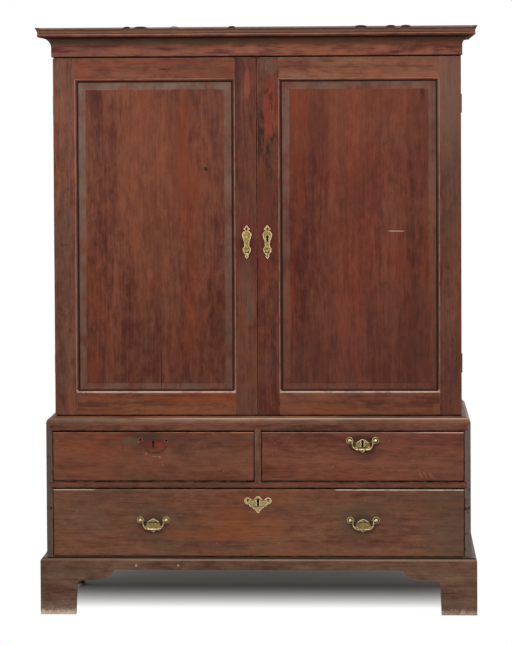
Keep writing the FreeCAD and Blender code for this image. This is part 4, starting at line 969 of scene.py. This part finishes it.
DRAWER_SCRATCHES = {
    "short_drawer_left": (
        ((-0.372, 0.545), (-0.352, 0.532), 0.004, 0.8, (56, 26, 20)),
        ((-0.352, 0.534), (-0.318, 0.534), 0.004, 0.8, (56, 26, 20)),
        ((-0.32, 0.534), (-0.298, 0.556), 0.004, 0.8, (56, 26, 20)),
        ((-0.352, 0.522), (-0.33, 0.519), 0.0024, 0.6, (150, 128, 104)),
        ((-0.33, 0.5205), (-0.318, 0.517), 0.0024, 0.8, (168, 146, 122)),
    ),
    "short_drawer_right": (
        ((0.527, 0.474), (0.541, 0.450), 0.002, 0.6, (176, 110, 82)),
        ((0.544, 0.472), (0.558, 0.448), 0.002, 0.6, (176, 110, 82)),
        ((0.558, 0.471), (0.572, 0.447), 0.002, 0.6, (176, 110, 82)),
        ((0.566, 0.470), (0.580, 0.446), 0.002, 0.6, (176, 110, 82)),
    ),
}


def drawer_marks(name):
    """Smoke and dirt round the brass with painted shadow under it, worn top edges, and painted
    shade along the rims and in the gap below.
    """
    low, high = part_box(f"{name}_front")

    def marks(place):
        across, up = place.axis(0), place.axis(2)
        edge = (up - high.z + 0.0034).between(0, 0.0012)
        ragged_edge = place.stretched(0.25, 1, 1).cloud(70, 3, 0.6)
        smoke = place.cloud(11, 5, 0.62)
        yield from patches(place, DRAWER_PATCHES[name], smoke)
        yield from scratches(place, DRAWER_SCRATCHES.get(name, ()))
        if name == "short_drawer_left":
            worn = ragged_edge.between(0.4, 0.55) * across.between(-0.4, -0.1)
            yield edge * worn * 0.8, paint(196, 120, 78)
            yield edge * ragged_edge.between(0.35, 0.6) * 0.35, paint(150, 116, 92)
        elif name == "short_drawer_right":
            yield edge * (0.25 + ragged_edge.between(0.35, 0.5) * 0.4), paint(160, 130, 118)
            yield edge * across.between(0.50, 0.56) * 0.85, paint(214, 168, 154)
        else:
            streak = place.stretched(0.1, 1, 1).cloud(60, 4, 0.6).between(0.55, 0.68)
            yield streak * (0.3 - across).between(0, 0.3) * 0.35, paint(72, 52, 42)
            yield (across - 0.55 + (smoke - 0.5) * 0.2).between(0, 0.08) * 0.4, paint(82, 70, 56)
            right = (across - 0.25).between(0, 0.012)
            right = right * (0.6 + ragged_edge.between(0.4, 0.5) * 0.35)
            yield edge * ragged_edge.between(0.4, 0.6) * 0.4, paint(170, 116, 84)
            yield edge * (-0.53 - across).between(0, 0.02) * 0.8, paint(206, 180, 146)
            yield edge * right, paint(214, 194, 176)
        dots = place.cloud(75, 1).between(0.755, 0.79)
        yield dots * 0.45, paint(160, 124, 102)
        rim = inset(place, f"{name}_front")
        # Painted shade along the rim of the front, next to the gaps.
        yield (0.0034 - rim).between(0, 0.0024) * (1 - edge) * 0.6, paint(50, 30, 24)
        # Painted shade in the gap under the front.
        yield (low.z + 0.0042 - up).between(0, 0.0026) * 0.85, paint(24, 12, 9)
    return marks


for name, tone, bloom, seed in (
    ("short_drawer_left", (103, 63, 49), 0.25, 70),
    ("short_drawer_right", (108, 64, 51), 0.15, 71),
    ("long_drawer", (110, 73, 57), 0.3, 72),
):
    finish = mahogany(f"{name}_front", "x", tone, bloom, 0.72, seed, drawer_marks(name))
    rubbed_copy(f"{name}_front", name, finish)
    dress(f"{name}_box", oak_y)
    dress(f"{name}_lock", iron)
    dress(f"{name}_lock_bolt", iron)


# ---- The drawer handles: a back plate sawn from sheet brass, two turned posts through it and a
# cast bail between them, thickest at the bottom where the fingers pull. The long drawer has a
# keyhole plate of its own between its two handles.

PLATE = (
    (0, 5, 1), (10, 0), (20, -7), (25, -6.5), (29, -3), (32, 4), (36, 9.3), (42.8, 11.5),
    (50.5, 8), (54, 0), (51.5, -7.5), (46, -11), (38, -11, 1), (36, -14), (33, -19), (26, -24, 1),
    (20, -25), (17, -29), (9, -32, 1), (6, -37), (0, -41, 1),
)
KEY_PLATE = (
    (0, 22), (6, 21.5), (9, 17, 1), (17, 11.5), (23, 12.5), (28, 17.5), (34, 18.8), (41, 16),
    (45, 8), (41, -1), (34, -3.5, 1), (29, -6), (27, -12), (22, -12, 1), (14, -19), (8, -24),
    (4, -31), (0, -33, 1),
)


def add_shape(pile, shape):
    """Drops one shape into another."""
    mesh = bpy.data.meshes.new("part")
    shape.to_mesh(mesh)
    shape.free()
    pile.from_mesh(mesh)
    bpy.data.meshes.remove(mesh)


def turned(profile, to_place):
    """A turning: its profile of radius and height spun round, then put in its place."""
    shape = bmesh.new()
    verts = [shape.verts.new((radius / 1000, 0, up / 1000)) for radius, up in profile]
    edges = [shape.edges.new(pair) for pair in zip(verts, verts[1:])]
    bmesh.ops.spin(
        shape, geom=verts + edges, axis=(0, 0, 1), cent=(0, 0, 0), angle=2 * pi, steps=20,
        use_merge=True,
    )
    bmesh.ops.remove_doubles(shape, verts=shape.verts, dist=1e-6)
    for vertex in shape.verts:
        vertex.co = to_place(vertex.co.copy())
    bmesh.ops.recalc_face_normals(shape, faces=shape.faces)
    return shape


POST = 0.0428  # from the middle of a plate to either of its posts
PIVOT = -0.294  # how far forward the bails hang in their posts
DRAWER_FACE = -0.283
SHORT_HANDLE = (0.34475, 0.574)
LONG_HANDLES = ((-0.346, 0.3105), (0.346, 0.3105))
NECK = ((0, 10.5), (5.4, 10.5), (5.4, 9), (4.8, 8.2), (2.6, 6.6), (2.6, 5.2), (3.4, 3.6), (0, 3.2))
BALL = ((0, 5.3), (2.6, 4.7), (4.3, 3.2), (5.3, 0), (4.3, -3.2), (2.7, -4.6), (2.1, -4.6),
        (2.1, 3.1), (0, 3.1))


def add_posts(pile, x, z):
    """Two posts, each a neck on a collar and a ball drilled from the inner side for the bail."""
    for side in (-1, 1):
        foot = Vector((x + side * POST, PIVOT, z))
        add_shape(pile, turned(NECK, lambda co: foot + Vector((co.x, co.z, co.y))))
        add_shape(pile, turned(BALL, lambda co: foot + Vector((side * co.z, co.x, co.y))))


def cast_bail(name, x, z, body, node):
    """A bail: its ends turned outwards into the posts, its grip swelling towards the middle."""
    half = ((45.8, 0, 2.0), (40, 0, 2.0), (36.6, 0, 2.0), (34.4, -2.4, 2.0), (33.5, -12, 2.1),
            (31, -21, 2.4), (24, -27.8, 2.7), (15, -29.6, 2.9), (0, -29.8, 3.0))
    path = [*half, *((-across, up, thick) for across, up, thick in reversed(half[:-1]))]
    curve = bpy.data.curves.new("bail_path", "CURVE")
    curve.dimensions, curve.bevel_depth, curve.bevel_resolution = "3D", 0.001, 3
    curve.use_fill_caps, curve.resolution_u = True, 4
    bend = curve.splines.new("BEZIER")
    bend.bezier_points.add(len(path) - 1)
    for point, (across, up, thick) in zip(bend.bezier_points, path):
        point.co = (x + across / 1000, PIVOT, z + up / 1000)
        point.radius = thick
        point.handle_left_type = point.handle_right_type = "AUTO"
    holder = bpy.data.objects.new("bail_path", curve)
    tube = bpy.data.meshes.new_from_object(holder)
    shape = bmesh.new()
    shape.from_mesh(tube)
    bpy.data.objects.remove(holder)
    bpy.data.meshes.remove(tube)
    bmesh.ops.remove_doubles(shape, verts=shape.verts, dist=1e-6)
    bmesh.ops.recalc_face_normals(shape, faces=shape.faces)
    smoothed(shape, 50)
    join_up(f"{name}_cast", shape, bright_brass, body, node)


def plate_marks(place):
    """Where the bail hangs, and round the posts, the plate is never rubbed and has gone brown, and
    painted shadow of the bail and posts darkens it more.
    """
    flat = (place.axis(1) + 0.2862).between(0, 0.001)
    for x, z in (SHORT_HANDLE, *LONG_HANDLES):
        for side in (-1, 1):
            post_shade_and_tarnish = spot(place, x + side * POST, z, 0.0135, 0.0135)
            bail_shadow_and_tarnish = spot(place, x + side * 0.029, z - 0.012, 0.0085, 0.014)
            # Tarnish together with painted shade round the posts and painted shadow under the bail.
            yield flat * post_shade_and_tarnish * 0.75, paint(58, 42, 24)
            yield flat * bail_shadow_and_tarnish * 0.9, paint(36, 24, 14)


bright_brass = old_brass("brass_of_the_grips", paint(236, 212, 164), paint(132, 104, 62))
plate_brass = old_brass("brass_of_the_plates", paint(158, 130, 72), paint(84, 66, 32), plate_marks)
plate = rounded(both_halves(PLATE))

pile = bmesh.new()
x, z = SHORT_HANDLE
add_shape(pile, stamped([plate, keyhole(-0.6, 22)], x, DRAWER_FACE, z))
add_posts(pile, x, z)
smoothed(pile, 50)
brightened(pile, DRAWER_FACE - SHEET)
join_up("short_handle_cast", pile, plate_brass,
        "short_drawer_right", "short_drawer_right_handle")
cast_bail("short_bail", x, z, "short_bail", "short_drawer_right_bail")

pile = bmesh.new()
for x, z in LONG_HANDLES:
    add_shape(pile, stamped([plate], x, DRAWER_FACE, z))
    add_posts(pile, x, z)
rings = [ring_hole(34, 7.5, 4), ring_hole(-34, 7.5, 4)]
key_plate = [rounded(both_halves(KEY_PLATE)), keyhole(12.4, 22), *rings]
add_shape(pile, stamped(key_plate, 0, DRAWER_FACE, 0.3665, shine=0.34))
smoothed(pile, 50)
brightened(pile, DRAWER_FACE - SHEET)
join_up("long_handles_cast", pile, plate_brass, "long_drawer", "long_drawer_handles")
for side, (x, z) in zip(("left", "right"), LONG_HANDLES):
    cast_bail(f"long_bail_{side}", x, z, f"long_bail_{side}", f"long_drawer_bail_{side}")


boxes = {"solid": solid_box, "dressed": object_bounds()}
{name: [list(corner) for corner in box] for name, box in boxes.items()}
